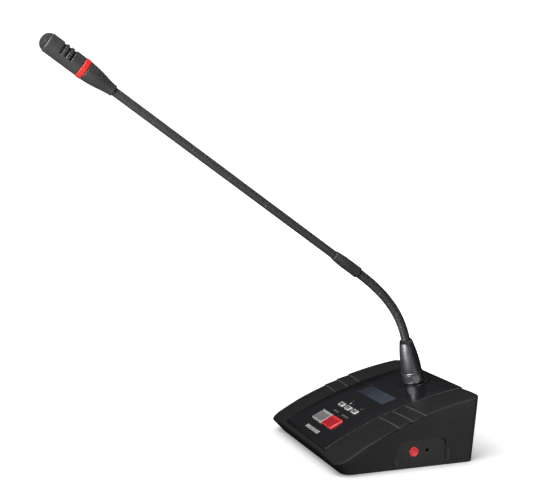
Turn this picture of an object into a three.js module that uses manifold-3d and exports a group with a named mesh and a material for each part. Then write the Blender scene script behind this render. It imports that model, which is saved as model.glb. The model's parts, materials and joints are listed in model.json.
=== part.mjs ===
// Gooseneck podium microphone on a desktop conference base.
// Millimetres. X is the user's right, Y runs to the rear, Z is up. The origin is on the table,
// under the middle of the base. The gooseneck stands in the plane X = 0 and leans to the front.
import * as THREE from "three";
import { mergeVertices } from "three/addons/utils/BufferGeometryUtils.js";
import Module from "manifold-3d";

const wasm = await Module();
wasm.setup();

// ---------- driving dimensions ----------
const GAP = 0.3; // clearance between neighbouring pieces
const REACH = 100; // longer than any cut
const LOCAL_REACH = 5; // longer than any cut through the panel beside the socket

// The top of the base is two arcs in the YZ plane: the crest under the control panel,
// and the lower edge along both sides.
const CREST = { radius: 385.5, y: 120.6, z: -319.85 };
const EDGE = { radius: 361.7, y: 120.3, z: -296.2 };

// Outline of the base at its top edge and at its foot. The walls lean in from top to foot.
const TOP = { front: -71, rear: 72.6, halfFront: 86, halfRear: 84.1, cornerFront: 12, cornerRear: 8 };
const FOOT = {
  front: -60.8,
  rear: 70.3,
  halfFront: 77.85,
  halfRear: 77.85,
  cornerFront: 9,
  cornerRear: 8,
};
const SHELL = { wall: 2.5, footZ: 0.2, corners: 4, straight: 15 };

const PANEL = { half: 49.6, front: -67.5, rear: 72.6, thick: 1.5, proud: 0.7 };
const RECESS = PANEL.thick + 0.2; // depth of the panel's seat below the crest
const DECK = 2; // plastic left under that seat

const WINDOW = { y: 8.05, wide: 53.2, deep: 16.1, ledge: 1.2, top: -0.05, bottom: -1.4 };
const LCD = { low: -6, high: -2, room: 0.4 };
const LCD_BOARD = { halfX: 30, halfY: 12, low: -8, high: -6.4 };
const KEY = { y: -43.4, wide: 21.6, deep: 14.3, proud: 1.6, flange: 1.8 };
const MENU = { y: -22, wide: 9.5, deep: 5.5, proud: 0.9, pitch: 14.65, flange: 1.2 };
const CAP_FOOT = -4; // underside of every key cap, below the panel's surface
const CAP_FLANGE = 1; // thickness of the flange under every key cap
const KEY_BOARD = { y: -34, half: 30, front: -21, rear: 19, low: -11.1, high: -9.5 };
const BIG_SWITCH = { half: 3, low: -9.1, high: -6.6 };
const MENU_SWITCH = { half: 2.25, low: -8.8, high: -5.9 };

// The pocket in the right-hand wall, open at the foot, with its button and its jack.
const POCKET = { x: 78.3, front: -9, rear: 39.4, top: 26.6, corner: 7, backing: 2.8, rim: 3, overrun: 5 };
const SIDE_BUTTON = { y: 7.6, z: 15.3, radius: 4.5, flange: 1.5, flangeThick: 1, proud: 0.9, dish: 0.5 };
const SIDE_STEM = { radius: 2.5, reach: 2.4 }; // the end of the button that meets its switch
const SIDE_RIM = { wide: 0.6, low: 0.2 };
const JACK = { y: 21.3, z: 15.4, snout: 3, bore: 1.85, front: 60, half: 3.5 };
const WALL_HOLE = 0.4; // room round the button and round the jack's snout

// The pair of round link sockets in the rear wall.
const LINK = { x: 24, z: 20, radius: 7.5, bore: 5.9, core: 6.2, front: 46, face: 71.2, open: 9.5 };
const LINK_BODY = { half: 8.5, deep: 12, high: 8 };

const MIC_LEAD = {
  radius: 1.5,
  path: [[0, 53, 35.9], [1, 53.8, 30], [8, 46, 19], [16, 33, 17], [17, 30, 11]],
};
const SIDE_SWITCH = { x: 66.5, back: 71.2, half: 3.5, above: 3.3 };

const PLATE = { half: 74.8, front: -57.8, rear: 67.4, corner: 6.5, bottom: 1.2, top: 4.2 };
const PAD = { half: 73.4, front: -56.4, rear: 66, corner: 6.5, top: 1.15 };
const BOSS = { x: 66, front: -40, rear: 54, radius: 4.2, hole: 1.8, depth: 14 };
const SCREW = { head: 3, shank: 1.5, foot: 1.3, rim: 2, seat: 2.7, tip: 12, room: 0.4 };
const BOARD = { bottom: 8.2, top: 9.8, above: 0.1 };
const BOARD_EDGE = { left: -60, right: 72, notch: 60, front: -12, step: 30, rear: 56 };
const POST = { x: 50, rows: [-4, 48], radius: 3, below: 0.2 };

// The microphone's connector stands at this point and leans forward by this angle.
const SOCKET = { y: 47.75, z: 58.2, lean: 13 };
const FLANGE = { radius: 14, below: 0.5, proud: 1, snout: 10.9, snoutTop: 0.5, depth: 22, bore: 9.7 };
const EAR = { radius: 5.2, y: 12.3 }; // the flange's lobe round the latch
const LATCH = { y: 13.2, radius: 1.9, hole: 2.2, low: -8, top: 0.6, edge: 0.3, crown: 1.4 };
const LATCH_TAIL = { half: 1.5, reach: 2.5, high: 1.5 }; // it stops the latch coming out
const SOCKET_CORE = { foot: -18, wall: 1.6, face: -2.5, holeFoot: -15 };
const CONTACTS = { count: 3, radius: 4, pin: 1.2, hole: 1.6 };
const RING = { radius: 10.5, bore: 9.6, low: 1.5, high: 12 };
const PLUG = { radius: 9.35, bore: 8.15, face: 1.4, skirt: -15, top: 5, pinFoot: -13, pinTop: 1.8 };
const BARREL = { foot: 12.3, top: 43.6, wide: 10, narrow: 6.1, fullness: 1.95 };
const SPIGOT = { low: 5.4, radius: 9.3, bore: 7.2 }; // the barrel's foot, inside the ring
const BUSH = { radius: 5.25, bore: 4.8, low: 37.5, high: 44.8, seat: 36, room: 0.25 };

// Gooseneck: a bent lower length, a rigid joint sleeve, and a straight upper length.
const LOWER = { radius: 4.5, bore: 2.4, hinges: 6, end: 8, gap: 2.2 };
const UPPER = { radius: 4, bore: 2.1, hinges: 6, gap: 1.3, length: 254.4 };
const STEM = { y: -13.6, z: 168.45, lean: 54.26 }; // foot of the sleeve, and the lean of all above it
const BEND = { fromConnector: 27.7, toStem: 35.4 }; // handles of the bent length's centre line
const SLEEVE = { length: 30, radius: 5.45, taper: 18.5, tip: 4.75, step: 12, chamfer: 0.3 };
const NECK_IN = { barrel: 24, sleeve: 10, upper: 14, cone: 7 }; // how far the end links reach in

// Head, measured along the stem from the end of the upper neck.
const HEAD = { cone: 29.1, ring: 34.7, front: 68.6, tip: 74.3, radius: 8.9, wall: 0.8 };
const CONE_WALL = { thick: 1.2, room: 1, step: 12, seat: 9, chamfer: 0.3 };
const CONE_LINE = [[5.15, 0.5], [5.4, 4.5], [5.95, 8], [6.75, 12], [7.5, 16], [8.1, 20], [8.55, 24]];
const LIGHT = { proud: 0.4, inner: 7.9 };
const LIGHT_BOARD = { radius: 7.4, bore: 3, low: 2, thick: 1.2 };
const LED = { count: 4, half: 0.8, radius: 6.2, low: 1, high: 2 };
const CAPSULE = { radius: 5, front: -9, rear: -16, holder: 7.8, holderFront: -8, holderRear: -17.6 };
const DOME = { radius: 7.8, foot: -7.5, shoulder: -0.5, steps: 6 };
// Each slot runs this many degrees either side of the top.
const SLOT = { rows: [45.3, 50.3, 55.2], wide: 2.4, reach: 110, out: 3, in: 2.5 };

// ---------- looks ----------
const look = (color, roughness, metalness) => ({ color, roughness, metalness });
const LOOKS = {
  satinBlack: look(0x2c2b2d, 0.55, 0),
  glossBlack: look(0x1b1a1d, 0.12, 0),
  windowBlue: look(0x44526a, 0.15, 0),
  board: look(0x1f5a36, 0.6, 0),
  switchBlack: look(0x18181a, 0.5, 0),
  keyGrey: look(0x828284, 0.5, 0),
  keyRed: look(0xc81423, 0.45, 0),
  keySilver: look(0xd0d0d2, 0.4, 0.2),
  steel: look(0x8a8c90, 0.45, 0.9),
  rubber: look(0x1c1c1c, 0.9, 0),
  gunmetal: look(0x4a4b4d, 0.35, 0.9),
  blackMetal: look(0x2e2e2f, 0.5, 0.7),
  contact: look(0xc9a24a, 0.3, 1),
  foam: look(0x3c3c3c, 0.95, 0),
  lightRed: look(0xff3a2e, 0.25, 0),
  capsule: look(0xb9babd, 0.35, 0.9),
};

const microphone = new THREE.Group();

function addPiece(parent, name, geometry, finish) {
  const mesh = new THREE.Mesh(geometry, new THREE.MeshStandardMaterial(finish));
  mesh.name = name;
  parent.add(mesh);
  return mesh;
}

// ---------- solids ----------
function toSolid(geometry) {
  const bare = new THREE.BufferGeometry();
  bare.setIndex(geometry.index);
  bare.setAttribute("position", geometry.getAttribute("position"));
  const merged = mergeVertices(bare, 1e-4);
  return new wasm.Manifold(
    new wasm.Mesh({
      numProp: 3,
      vertProperties: new Float32Array(merged.attributes.position.array),
      triVerts: new Uint32Array(merged.index.array),
    }),
  );
}

function toGeometry(solid) {
  const mesh = solid.getMesh();
  const geometry = new THREE.BufferGeometry();
  geometry.setAttribute("position", new THREE.BufferAttribute(mesh.vertProperties, 3));
  geometry.setIndex(new THREE.BufferAttribute(mesh.triVerts, 1));
  geometry.computeVertexNormals();
  return geometry;
}

function join(first, ...others) {
  return toGeometry(others.reduce((whole, one) => whole.add(toSolid(one)), toSolid(first)));
}

function cut(first, ...tools) {
  return toGeometry(tools.reduce((whole, tool) => whole.subtract(toSolid(tool)), toSolid(first)));
}

// ---------- simple shapes ----------
// A box given by its low and high corners.
function block(low, high) {
  const size = high.map((value, i) => value - low[i]);
  const centre = high.map((value, i) => (value + low[i]) / 2);
  return new THREE.BoxGeometry(...size).translate(...centre);
}

// A disc or rod along Z, standing on the point (x, y, low).
function rod(radius, low, high, x = 0, y = 0, sides = 20) {
  const shape = new THREE.CylinderGeometry(radius, radius, high - low, sides);
  return shape.rotateX(Math.PI / 2).translate(x, y, (low + high) / 2);
}

// A profile of [radius, z] points, going up the outside, turned round the Z axis.
function turned(profile, sides = 24) {
  const points = profile.map(([radius, z]) => new THREE.Vector2(radius, z));
  return new THREE.LatheGeometry(points, sides).rotateX(Math.PI / 2);
}

// A tube along Z, with its profile closed on itself.
function tube(outer, inner, low, high, sides = 24) {
  return turned([[inner, low], [outer, low], [outer, high], [inner, high], [inner, low]], sides);
}

function roundedPlate(half, front, rear, corner, low, high) {
  const shape = new THREE.Shape();
  shape.absarc(half - corner, front + corner, corner, -Math.PI / 2, 0);
  shape.absarc(half - corner, rear - corner, corner, 0, Math.PI / 2);
  shape.absarc(corner - half, rear - corner, corner, Math.PI / 2, Math.PI);
  shape.absarc(corner - half, front + corner, corner, Math.PI, 1.5 * Math.PI);
  const options = { depth: high - low, bevelEnabled: false, curveSegments: 4 };
  return new THREE.ExtrudeGeometry(shape, options).translate(0, 0, low);
}

// Turn a shape made along Z so that it runs along X or along Y.
const axis = (x, y, z) => new THREE.Vector3(x, y, z);
const TO_X = new THREE.Matrix4().makeBasis(axis(0, 1, 0), axis(0, 0, 1), axis(1, 0, 0));
const TO_Y = new THREE.Matrix4().makeBasis(axis(0, 0, 1), axis(1, 0, 0), axis(0, 1, 0));

// ---------- frames on the base ----------
const arcHeight = (arc, y) => arc.z + Math.sqrt(arc.radius ** 2 - (y - arc.y) ** 2);
const arcPitch = (arc, y) => Math.asin((arc.y - y) / arc.radius);

function placedGroup(parent, x, y, z, lean) {
  const group = new THREE.Group();
  group.position.set(x, y, z);
  group.rotation.x = lean;
  group.updateMatrix();
  parent.add(group);
  return group;
}

// A frame on the panel's surface, with its own Z square to the surface.
function seatOnPanel(y, x = 0) {
  return placedGroup(microphone, x, y, arcHeight(CREST, y), arcPitch(CREST, y));
}

const seats = {
  window: seatOnPanel(WINDOW.y),
  keys: seatOnPanel(KEY.y),
  menu: seatOnPanel(MENU.y),
  keyBoard: seatOnPanel(KEY_BOARD.y),
};
const socketFrame = placedGroup(
  microphone,
  0,
  SOCKET.y,
  SOCKET.z,
  THREE.MathUtils.degToRad(SOCKET.lean),
);
const placed = (geometry, frame) => geometry.clone().applyMatrix4(frame.matrix);
const menuX = (column) => (column - 1) * MENU.pitch;

// ---------- housing ----------
// Row 0 is the front edge and the last row is the rear edge; the first and last few rows follow
// the rounded corners.
const LAST_ROW = 2 * SHELL.corners + SHELL.straight;

function outlineRow(outline, inset, row) {
  const front = outline.front + inset;
  const rear = outline.rear - inset;
  const nearFront = Math.min(row / SHELL.corners, 1) * (Math.PI / 2);
  const nearRear = Math.min((LAST_ROW - row) / SHELL.corners, 1) * (Math.PI / 2);
  const frontRadius = outline.cornerFront - inset;
  const rearRadius = outline.cornerRear - inset;
  const middle = THREE.MathUtils.clamp((row - SHELL.corners) / SHELL.straight, 0, 1);
  let y = THREE.MathUtils.lerp(front + frontRadius, rear - rearRadius, middle);
  y -= frontRadius * Math.cos(nearFront) * (row < SHELL.corners ? 1 : 0);
  y += rearRadius * Math.cos(nearRear) * (row > LAST_ROW - SHELL.corners ? 1 : 0);
  const along = (y - outline.front) / (outline.rear - outline.front);
  const half = THREE.MathUtils.lerp(outline.halfFront, outline.halfRear, along);
  const rounding = frontRadius * (1 - Math.sin(nearFront)) + rearRadius * (1 - Math.sin(nearRear));
  return { y, half: half - inset - rounding };
}

// Height of the housing's top: level across the panel, then falling to the side edge.
function topHeight(x, y) {
  const inner = arcHeight(CREST, y) - PANEL.proud;
  const fall = Math.max(Math.abs(x) - PANEL.half, 0) / (TOP.halfFront - PANEL.half);
  return THREE.MathUtils.lerp(inner, arcHeight(EDGE, y), fall);
}

// A closed body between the foot outline and the top surface.
function caseBody(inset, drop, footZ) {
  const columns = 4;
  const geometry = new THREE.BoxGeometry(1, 1, 1, columns, LAST_ROW, 1);
  const position = geometry.getAttribute("position");
  for (let i = 0; i < position.count; i++) {
    const column = Math.round((position.getX(i) + 0.5) * columns) - 2;
    const row = Math.round((position.getY(i) + 0.5) * LAST_ROW);
    const atTop = position.getZ(i) > 0;
    const { y, half } = outlineRow(atTop ? TOP : FOOT, inset, row);
    const x = [0, PANEL.half, half][Math.abs(column)] * Math.sign(column);
    position.setXYZ(i, x, y, atTop ? topHeight(x, y) - drop : footZ);
  }
  return geometry;
}

// A slab that follows the crest, between two heights measured from it.
function crestSlab(half, front, rear, low, high) {
  const rows = 18;
  const geometry = new THREE.BoxGeometry(2 * half, rear - front, 1, 1, rows, 1);
  geometry.translate(0, (front + rear) / 2, 0);
  const position = geometry.getAttribute("position");
  for (let i = 0; i < position.count; i++) {
    const offset = position.getZ(i) > 0 ? high : low;
    position.setZ(i, arcHeight(CREST, position.getY(i)) + offset);
  }
  return geometry;
}

// A through cut square to the panel, centred on a seat.
const panelCut = (seat, wide, deep, x = 0) =>
  placed(block([x - wide / 2, -deep / 2, -REACH / 10], [x + wide / 2, deep / 2, REACH / 10]), seat);

function keyCuts() {
  const margin = 2 * GAP;
  const keys = panelCut(seats.keys, 2 * KEY.wide + GAP + margin, KEY.deep + margin);
  const menu = [0, 1, 2].map((column) =>
    panelCut(seats.menu, MENU.wide + margin, MENU.deep + margin, menuX(column)),
  );
  return [keys, ...menu];
}

function pocketCut() {
  const { front, rear, top, corner, overrun } = POCKET;
  const shape = new THREE.Shape();
  shape.moveTo(front, -overrun);
  shape.lineTo(rear, -overrun);
  shape.absarc(rear - corner, top - corner, corner, 0, Math.PI / 2);
  shape.absarc(front + corner, top - corner, corner, Math.PI / 2, Math.PI);
  const depth = TOP.halfFront - POCKET.x + overrun;
  const geometry = new THREE.ExtrudeGeometry(shape, { depth, bevelEnabled: false, curveSegments: 5 });
  return geometry.applyMatrix4(TO_X).translate(POCKET.x, 0, 0);
}

const bossPlaces = [
  ["front_left", -BOSS.x, BOSS.front],
  ["front_right", BOSS.x, BOSS.front],
  ["rear_left", -BOSS.x, BOSS.rear],
  ["rear_right", BOSS.x, BOSS.rear],
];
const linkPlaces = [
  ["link_socket_in", -LINK.x],
  ["link_socket_out", LINK.x],
];

function housingShell() {
  const { x: wallX, front, rear, top, backing: thick, rim } = POCKET;
  const skin = cut(caseBody(0, 0, SHELL.footZ), caseBody(SHELL.wall, RECESS - PANEL.proud + DECK, -1));
  const backing = block(
    [wallX - thick, front - rim, PLATE.top + GAP],
    [wallX + rim / 2, rear + rim, top + rim],
  );
  const bosses = bossPlaces.map(([, x, y]) =>
    rod(BOSS.radius, PLATE.top + GAP, topHeight(x, y) - DECK, x, y, 16),
  );
  const bossHoles = bossPlaces.map(([, x, y]) => rod(BOSS.hole, 0, BOSS.depth, x, y, 12));
  const linkHoles = linkPlaces.map(([, x]) =>
    rod(LINK.radius + GAP, LINK.front, REACH).applyMatrix4(TO_Y).translate(x, 0, LINK.z),
  );
  const sideHole = (radius, y, z) =>
    rod(radius + WALL_HOLE, wallX - 2 * thick, REACH).applyMatrix4(TO_X).translate(0, y, z);
  return cut(
    join(skin, backing, ...bosses),
    crestSlab(PANEL.half + GAP, PANEL.front - GAP, PANEL.rear + LOCAL_REACH, -RECESS, LOCAL_REACH),
    panelCut(seats.window, WINDOW.wide - 2 * WINDOW.ledge, WINDOW.deep - 2 * WINDOW.ledge),
    ...keyCuts(),
    placed(rod(FLANGE.snout + WALL_HOLE, LATCH.low, LOCAL_REACH), socketFrame),
    placed(rod(LATCH.hole + GAP, LATCH.low, LOCAL_REACH, 0, LATCH.y, 12), socketFrame),
    pocketCut(),
    sideHole(SIDE_BUTTON.radius, SIDE_BUTTON.y, SIDE_BUTTON.z),
    sideHole(JACK.snout, JACK.y, JACK.z),
    ...linkHoles,
    ...bossHoles,
  );
}

function controlPanel() {
  return cut(
    crestSlab(PANEL.half, PANEL.front, PANEL.rear, -PANEL.thick, 0),
    panelCut(seats.window, WINDOW.wide + 2 * GAP, WINDOW.deep + 2 * GAP),
    ...keyCuts(),
    placed(rod(FLANGE.radius + GAP, -LOCAL_REACH, LOCAL_REACH), socketFrame),
    placed(rod(EAR.radius + GAP, -LOCAL_REACH, LOCAL_REACH, 0, EAR.y), socketFrame),
  );
}

// ---------- foot of the base ----------
function basePlate() {
  const plate = roundedPlate(PLATE.half, PLATE.front, PLATE.rear, PLATE.corner, PLATE.bottom, PLATE.top);
  const { radius, rows, below } = POST;
  const posts = [-POST.x, POST.x].flatMap((x) =>
    rows.map((y) => rod(radius, PLATE.bottom + 1, BOARD.bottom - below, x, y, 6)),
  );
  const { head, shank, seat, room } = SCREW;
  const heads = bossPlaces.map(([, x, y]) => rod(head + room, 0, seat + room / 2, x, y, 12));
  const shanks = bossPlaces.map(([, x, y]) => rod(shank + room, 0, PLATE.top + 1, x, y, 12));
  return cut(join(plate, ...posts), ...heads, ...shanks);
}

function nonSlipPad() {
  const pad = roundedPlate(PAD.half, PAD.front, PAD.rear, PAD.corner, 0, PAD.top);
  const holes = bossPlaces.map(([, x, y]) => rod(SCREW.head + 2 * GAP, -1, SCREW.seat, x, y, 12));
  return cut(pad, ...holes);
}

function screw() {
  const { head, shank, foot, rim, seat, tip } = SCREW;
  return turned([[0, foot], [head, foot], [head, rim], [shank, seat], [shank, tip], [0, tip]], 12);
}

function buildFoot() {
  addPiece(microphone, "base_plate", basePlate(), LOOKS.steel);
  addPiece(microphone, "non_slip_pad", nonSlipPad(), LOOKS.rubber);
  for (const [place, x, y] of bossPlaces) {
    addPiece(microphone, `base_screw_${place}`, screw(), LOOKS.steel).position.set(x, y, 0);
  }
}

// ---------- boards, sockets and switches inside ----------
function mainBoard() {
  const shape = new THREE.Shape();
  const { left, right, notch, front, step, rear } = BOARD_EDGE;
  const sidePart = [[right, front], [right, step], [notch, step]];
  const corners = [[left, front], ...sidePart, [notch, rear], [left, rear]];
  shape.setFromPoints(corners.map(([x, y]) => new THREE.Vector2(x, y)));
  const options = { depth: BOARD.top - BOARD.bottom, bevelEnabled: false };
  return new THREE.ExtrudeGeometry(shape, options).translate(0, 0, BOARD.bottom);
}

function linkSocket(x) {
  const { z, radius, bore, core: coreRadius, front, face, open } = LINK;
  const { half, deep, high } = LINK_BODY;
  const start = front + deep - 2;
  const barrel = tube(radius, bore, start, face).applyMatrix4(TO_Y).translate(x, 0, z);
  const core = rod(coreRadius, start, face - open).applyMatrix4(TO_Y).translate(x, 0, z);
  const body = block([x - half, front, BOARD.top + BOARD.above], [x + half, front + deep, z + high]);
  return join(body, barrel, core);
}

function headphoneJack() {
  const { y, z, snout, bore, front, half } = JACK;
  const back = POCKET.x - POCKET.backing - GAP;
  const body = block([front, y - half, BOARD.top + BOARD.above], [back, y + half, z + half]);
  const nose = rod(snout, back - 1, POCKET.x - GAP).applyMatrix4(TO_X).translate(0, y, z);
  const hole = rod(bore, front + 2, REACH, 0, 0, 16).applyMatrix4(TO_X).translate(0, y, z);
  return cut(join(body, nose), hole);
}

// The screened lead from the microphone socket down to the main board.
function micLead() {
  const path = new THREE.CatmullRomCurve3(MIC_LEAD.path.map((point) => axis(...point)));
  const shape = new THREE.Shape().absarc(0, 0, MIC_LEAD.radius, 0, 2 * Math.PI);
  const options = { extrudePath: path, steps: 16, bevelEnabled: false, curveSegments: 4 };
  return new THREE.ExtrudeGeometry(shape, options);
}

function buildInside() {
  addPiece(microphone, "main_board", mainBoard(), LOOKS.board);
  for (const [name, linkX] of linkPlaces) {
    addPiece(microphone, name, linkSocket(linkX), LOOKS.switchBlack);
  }
  addPiece(microphone, "headphone_jack", headphoneJack(), LOOKS.switchBlack);
  const { y, z } = SIDE_BUTTON;
  const { x, back, half, above } = SIDE_SWITCH;
  const sideSwitch = block([x, y - half, BOARD.top + BOARD.above], [back, y + half, z + above]);
  addPiece(microphone, "side_switch", sideSwitch, LOOKS.switchBlack);
  addPiece(microphone, "mic_lead", micLead(), LOOKS.rubber);
}

// ---------- display ----------
function buildDisplay() {
  const { window: seat } = seats;
  const { wide, deep, ledge, top, bottom } = WINDOW;
  const pane = block([-wide / 2, -deep / 2, bottom], [wide / 2, deep / 2, top]);
  addPiece(seat, "display_window", pane, LOOKS.windowBlue);
  const halfWide = wide / 2 - ledge - LCD.room;
  const halfDeep = deep / 2 - ledge - LCD.room;
  const module = block([-halfWide, -halfDeep, LCD.low], [halfWide, halfDeep, LCD.high]);
  addPiece(seat, "lcd_module", module, LOOKS.steel);
  const { halfX, halfY, low, high } = LCD_BOARD;
  addPiece(seat, "display_board", block([-halfX, -halfY, low], [halfX, halfY, high]), LOOKS.board);
}

// ---------- keys ----------
// A cap with a wider flange under the housing that keeps it from coming out.
function keyCap(wide, deep, proud, flangeWide, flangeDeep) {
  const cap = block([-wide / 2, -deep / 2, CAP_FOOT - CAP_FLANGE / 2], [wide / 2, deep / 2, proud]);
  const flange = block(
    [-flangeWide / 2, -flangeDeep / 2, CAP_FOOT - CAP_FLANGE],
    [flangeWide / 2, flangeDeep / 2, CAP_FOOT],
  );
  return join(cap, flange);
}

const switchBody = ({ half, low, high }) => block([-half, -half, low], [half, half, high]);

function buildKeys() {
  const bigKeys = [
    ["talk_key", "talk_switch", -1, LOOKS.keyGrey],
    ["priority_key", "priority_switch", 1, LOOKS.keyRed],
  ];
  for (const [keyName, switchName, side, finish] of bigKeys) {
    const x = (side * (KEY.wide + GAP)) / 2;
    const cap = keyCap(KEY.wide, KEY.deep, KEY.proud, KEY.wide, KEY.deep + 2 * KEY.flange);
    addPiece(seats.keys, keyName, cap, finish).position.x = x;
    addPiece(seats.keys, switchName, switchBody(BIG_SWITCH), LOOKS.switchBlack).position.x = x;
  }
  ["left", "middle", "right"].forEach((place, column) => {
    const { wide, deep, proud, flange } = MENU;
    const cap = keyCap(wide, deep, proud, wide + 2 * flange, deep + 2 * flange);
    addPiece(seats.menu, `menu_key_${place}`, cap, LOOKS.keySilver).position.x = menuX(column);
    const body = switchBody(MENU_SWITCH);
    addPiece(seats.menu, `menu_switch_${place}`, body, LOOKS.switchBlack).position.x = menuX(column);
  });
  const { half, front, rear, low, high } = KEY_BOARD;
  const board = block([-half, front, low], [half, rear, high]);
  addPiece(seats.keyBoard, "key_board", board, LOOKS.board);
}

// A round dished button with a flange behind the wall.
function buildSideButton() {
  const { y, z, radius, flange, flangeThick, proud, dish } = SIDE_BUTTON;
  const back = POCKET.x - POCKET.backing - 2 * GAP;
  const face = POCKET.x + proud;
  const profile = [
    [0, back - SIDE_STEM.reach],
    [SIDE_STEM.radius, back - SIDE_STEM.reach],
    [SIDE_STEM.radius, back - flangeThick],
    [radius + flange, back - flangeThick],
    [radius + flange, back],
    [radius, back],
    [radius, face - SIDE_RIM.low],
    [radius - SIDE_RIM.wide, face],
    [0, face - dish],
  ];
  const button = turned(profile).applyMatrix4(TO_X);
  addPiece(microphone, "side_button", button, LOOKS.keyRed).position.set(0, y, z);
}

// ---------- microphone socket in the base ----------
function around(count, radius, make) {
  return Array.from({ length: count }, (_, i) => {
    const angle = (2 * Math.PI * i) / count;
    return make(radius * Math.cos(angle), radius * Math.sin(angle));
  });
}

const atContacts = (radius, low, high) =>
  around(CONTACTS.count, CONTACTS.radius, (x, y) => rod(radius, low, high, x, y, 10));

function buildSocket() {
  const { radius, below, proud, snout, snoutTop, depth, bore } = FLANGE;
  const plate = join(
    rod(radius, -below, proud, 0, 0, 32),
    rod(EAR.radius, -below, proud, 0, EAR.y),
    rod(snout, -depth, snoutTop, 0, 0, 24),
  );
  const mouth = rod(bore, -depth - 1, LOCAL_REACH, 0, 0, 24);
  const latchHole = rod(LATCH.hole, -LOCAL_REACH, LOCAL_REACH, 0, LATCH.y, 12);
  addPiece(socketFrame, "socket_flange", cut(plate, mouth, latchHole), LOOKS.blackMetal);

  const rim = bore - GAP;
  const { foot, wall, face, holeFoot } = SOCKET_CORE;
  const inner = rim - wall;
  const core = [[0, -depth], [rim, -depth], [rim, foot], [inner, foot], [inner, face], [0, face]];
  const holes = atContacts(CONTACTS.hole, holeFoot, LOCAL_REACH);
  addPiece(socketFrame, "socket_body", cut(turned(core, 20), ...holes), LOOKS.switchBlack);

  const { low, top, y, edge, crown } = LATCH;
  const pin = [[0, low], [LATCH.radius, low], [LATCH.radius, edge], [crown, top], [0, top]];
  const { half, reach, high } = LATCH_TAIL;
  const tail = block([-half, y, low], [half, y + reach, low + high]);
  const latch = join(turned(pin, 12).translate(0, y, 0), tail);
  addPiece(socketFrame, "socket_latch", latch, LOOKS.switchBlack);
}

// ---------- connector of the microphone ----------
function barrelRadius(along) {
  return BARREL.narrow + (BARREL.wide - BARREL.narrow) * (1 - along ** BARREL.fullness);
}

function barrelProfile() {
  const { foot, top } = BARREL;
  const { low, radius: spigot, bore: inner } = SPIGOT;
  const steps = 8;
  const outer = [];
  for (let i = 0; i <= steps; i++) {
    const along = i / steps;
    outer.push([barrelRadius(along), THREE.MathUtils.lerp(foot, top, along)]);
  }
  const bore = BUSH.radius + BUSH.room;
  return [
    [inner, low],
    [spigot, low],
    [spigot, foot],
    ...outer,
    [bore, top],
    [bore, BUSH.seat],
    [inner, BUSH.seat - 1],
    [inner, low],
  ];
}

function buildConnector() {
  const { radius, bore, face, skirt, top, pinFoot, pinTop } = PLUG;
  const shell = [[0, face], [bore, face], [bore, skirt], [radius, skirt], [radius, top], [0, top]];
  const insert = join(turned(shell, 20), ...atContacts(CONTACTS.pin, pinFoot, pinTop));
  addPiece(socketFrame, "plug_insert", insert, LOOKS.contact);
  const ring = tube(RING.radius, RING.bore, RING.low, RING.high);
  addPiece(socketFrame, "connector_ring", ring, LOOKS.gunmetal);
  addPiece(socketFrame, "connector_barrel", turned(barrelProfile()), LOOKS.gunmetal);
  const bush = tube(BUSH.radius, BUSH.bore, BUSH.low, BUSH.high, 20);
  addPiece(socketFrame, "strain_bush", bush, LOOKS.rubber);
}

// ---------- gooseneck ----------
const stemFrame = placedGroup(microphone, 0, STEM.y, STEM.z, THREE.MathUtils.degToRad(STEM.lean));
const stemPoint = (along) => axis(0, 0, along).applyMatrix4(stemFrame.matrix);
const connectorPoint = (along) => axis(0, 0, along).applyMatrix4(socketFrame.matrix);

const bentLine = new THREE.CubicBezierCurve3(
  connectorPoint(BARREL.top),
  connectorPoint(BARREL.top + BEND.fromConnector),
  stemPoint(-BEND.toStem),
  stemPoint(0),
);

// A straight tube between two points, kept short at either end.
function neckLink(name, from, to, { radius, bore }, shortFrom, shortTo) {
  const along = to.clone().sub(from);
  const link = tube(radius, bore, shortFrom, along.length() - shortTo, 16);
  const mesh = addPiece(microphone, name, link, LOOKS.blackMetal);
  mesh.position.copy(from);
  mesh.quaternion.setFromUnitVectors(axis(0, 0, 1), along.normalize());
}

function buildLowerNeck() {
  const length = bentLine.getLength();
  const pitch = (length - 2 * LOWER.end) / (LOWER.hinges - 1);
  const half = LOWER.gap / 2;
  const hinges = Array.from({ length: LOWER.hinges }, (_, i) =>
    bentLine.getPointAt((LOWER.end + i * pitch) / length),
  );
  const first = connectorPoint(BARREL.top + LOWER.end);
  neckLink("neck_lower_1", connectorPoint(NECK_IN.barrel), first, LOWER, 0, half);
  for (let i = 1; i < LOWER.hinges; i++) {
    neckLink(`neck_lower_${i + 1}`, hinges[i - 1], hinges[i], LOWER, half, half);
  }
  const last = `neck_lower_${LOWER.hinges + 1}`;
  neckLink(last, stemPoint(-LOWER.end), stemPoint(NECK_IN.sleeve), LOWER, half, 0);
}

function buildSleeve() {
  const { length, radius, taper, tip, step, chamfer } = SLEEVE;
  const lowBore = LOWER.radius + GAP;
  const highBore = UPPER.radius + GAP;
  const profile = [
    [lowBore, 0],
    [radius - chamfer, 0],
    [radius, chamfer],
    [radius, taper],
    [tip, length],
    [highBore, length],
    [highBore, step],
    [lowBore, step],
    [lowBore, 0],
  ];
  addPiece(stemFrame, "joint_sleeve", turned(profile, 20), LOOKS.blackMetal);
}

function buildUpperNeck() {
  const half = UPPER.gap / 2;
  const pitch = UPPER.length / UPPER.hinges;
  const hinge = (i) => stemPoint(SLEEVE.length + (i + 0.5) * pitch);
  neckLink("neck_upper_1", stemPoint(NECK_IN.upper), hinge(0), UPPER, 0, half);
  for (let i = 1; i < UPPER.hinges; i++) {
    neckLink(`neck_upper_${i + 1}`, hinge(i - 1), hinge(i), UPPER, half, half);
  }
  const end = stemPoint(SLEEVE.length + UPPER.length + NECK_IN.cone);
  neckLink(`neck_upper_${UPPER.hinges + 1}`, hinge(UPPER.hinges - 1), end, UPPER, half, 0);
}

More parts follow.
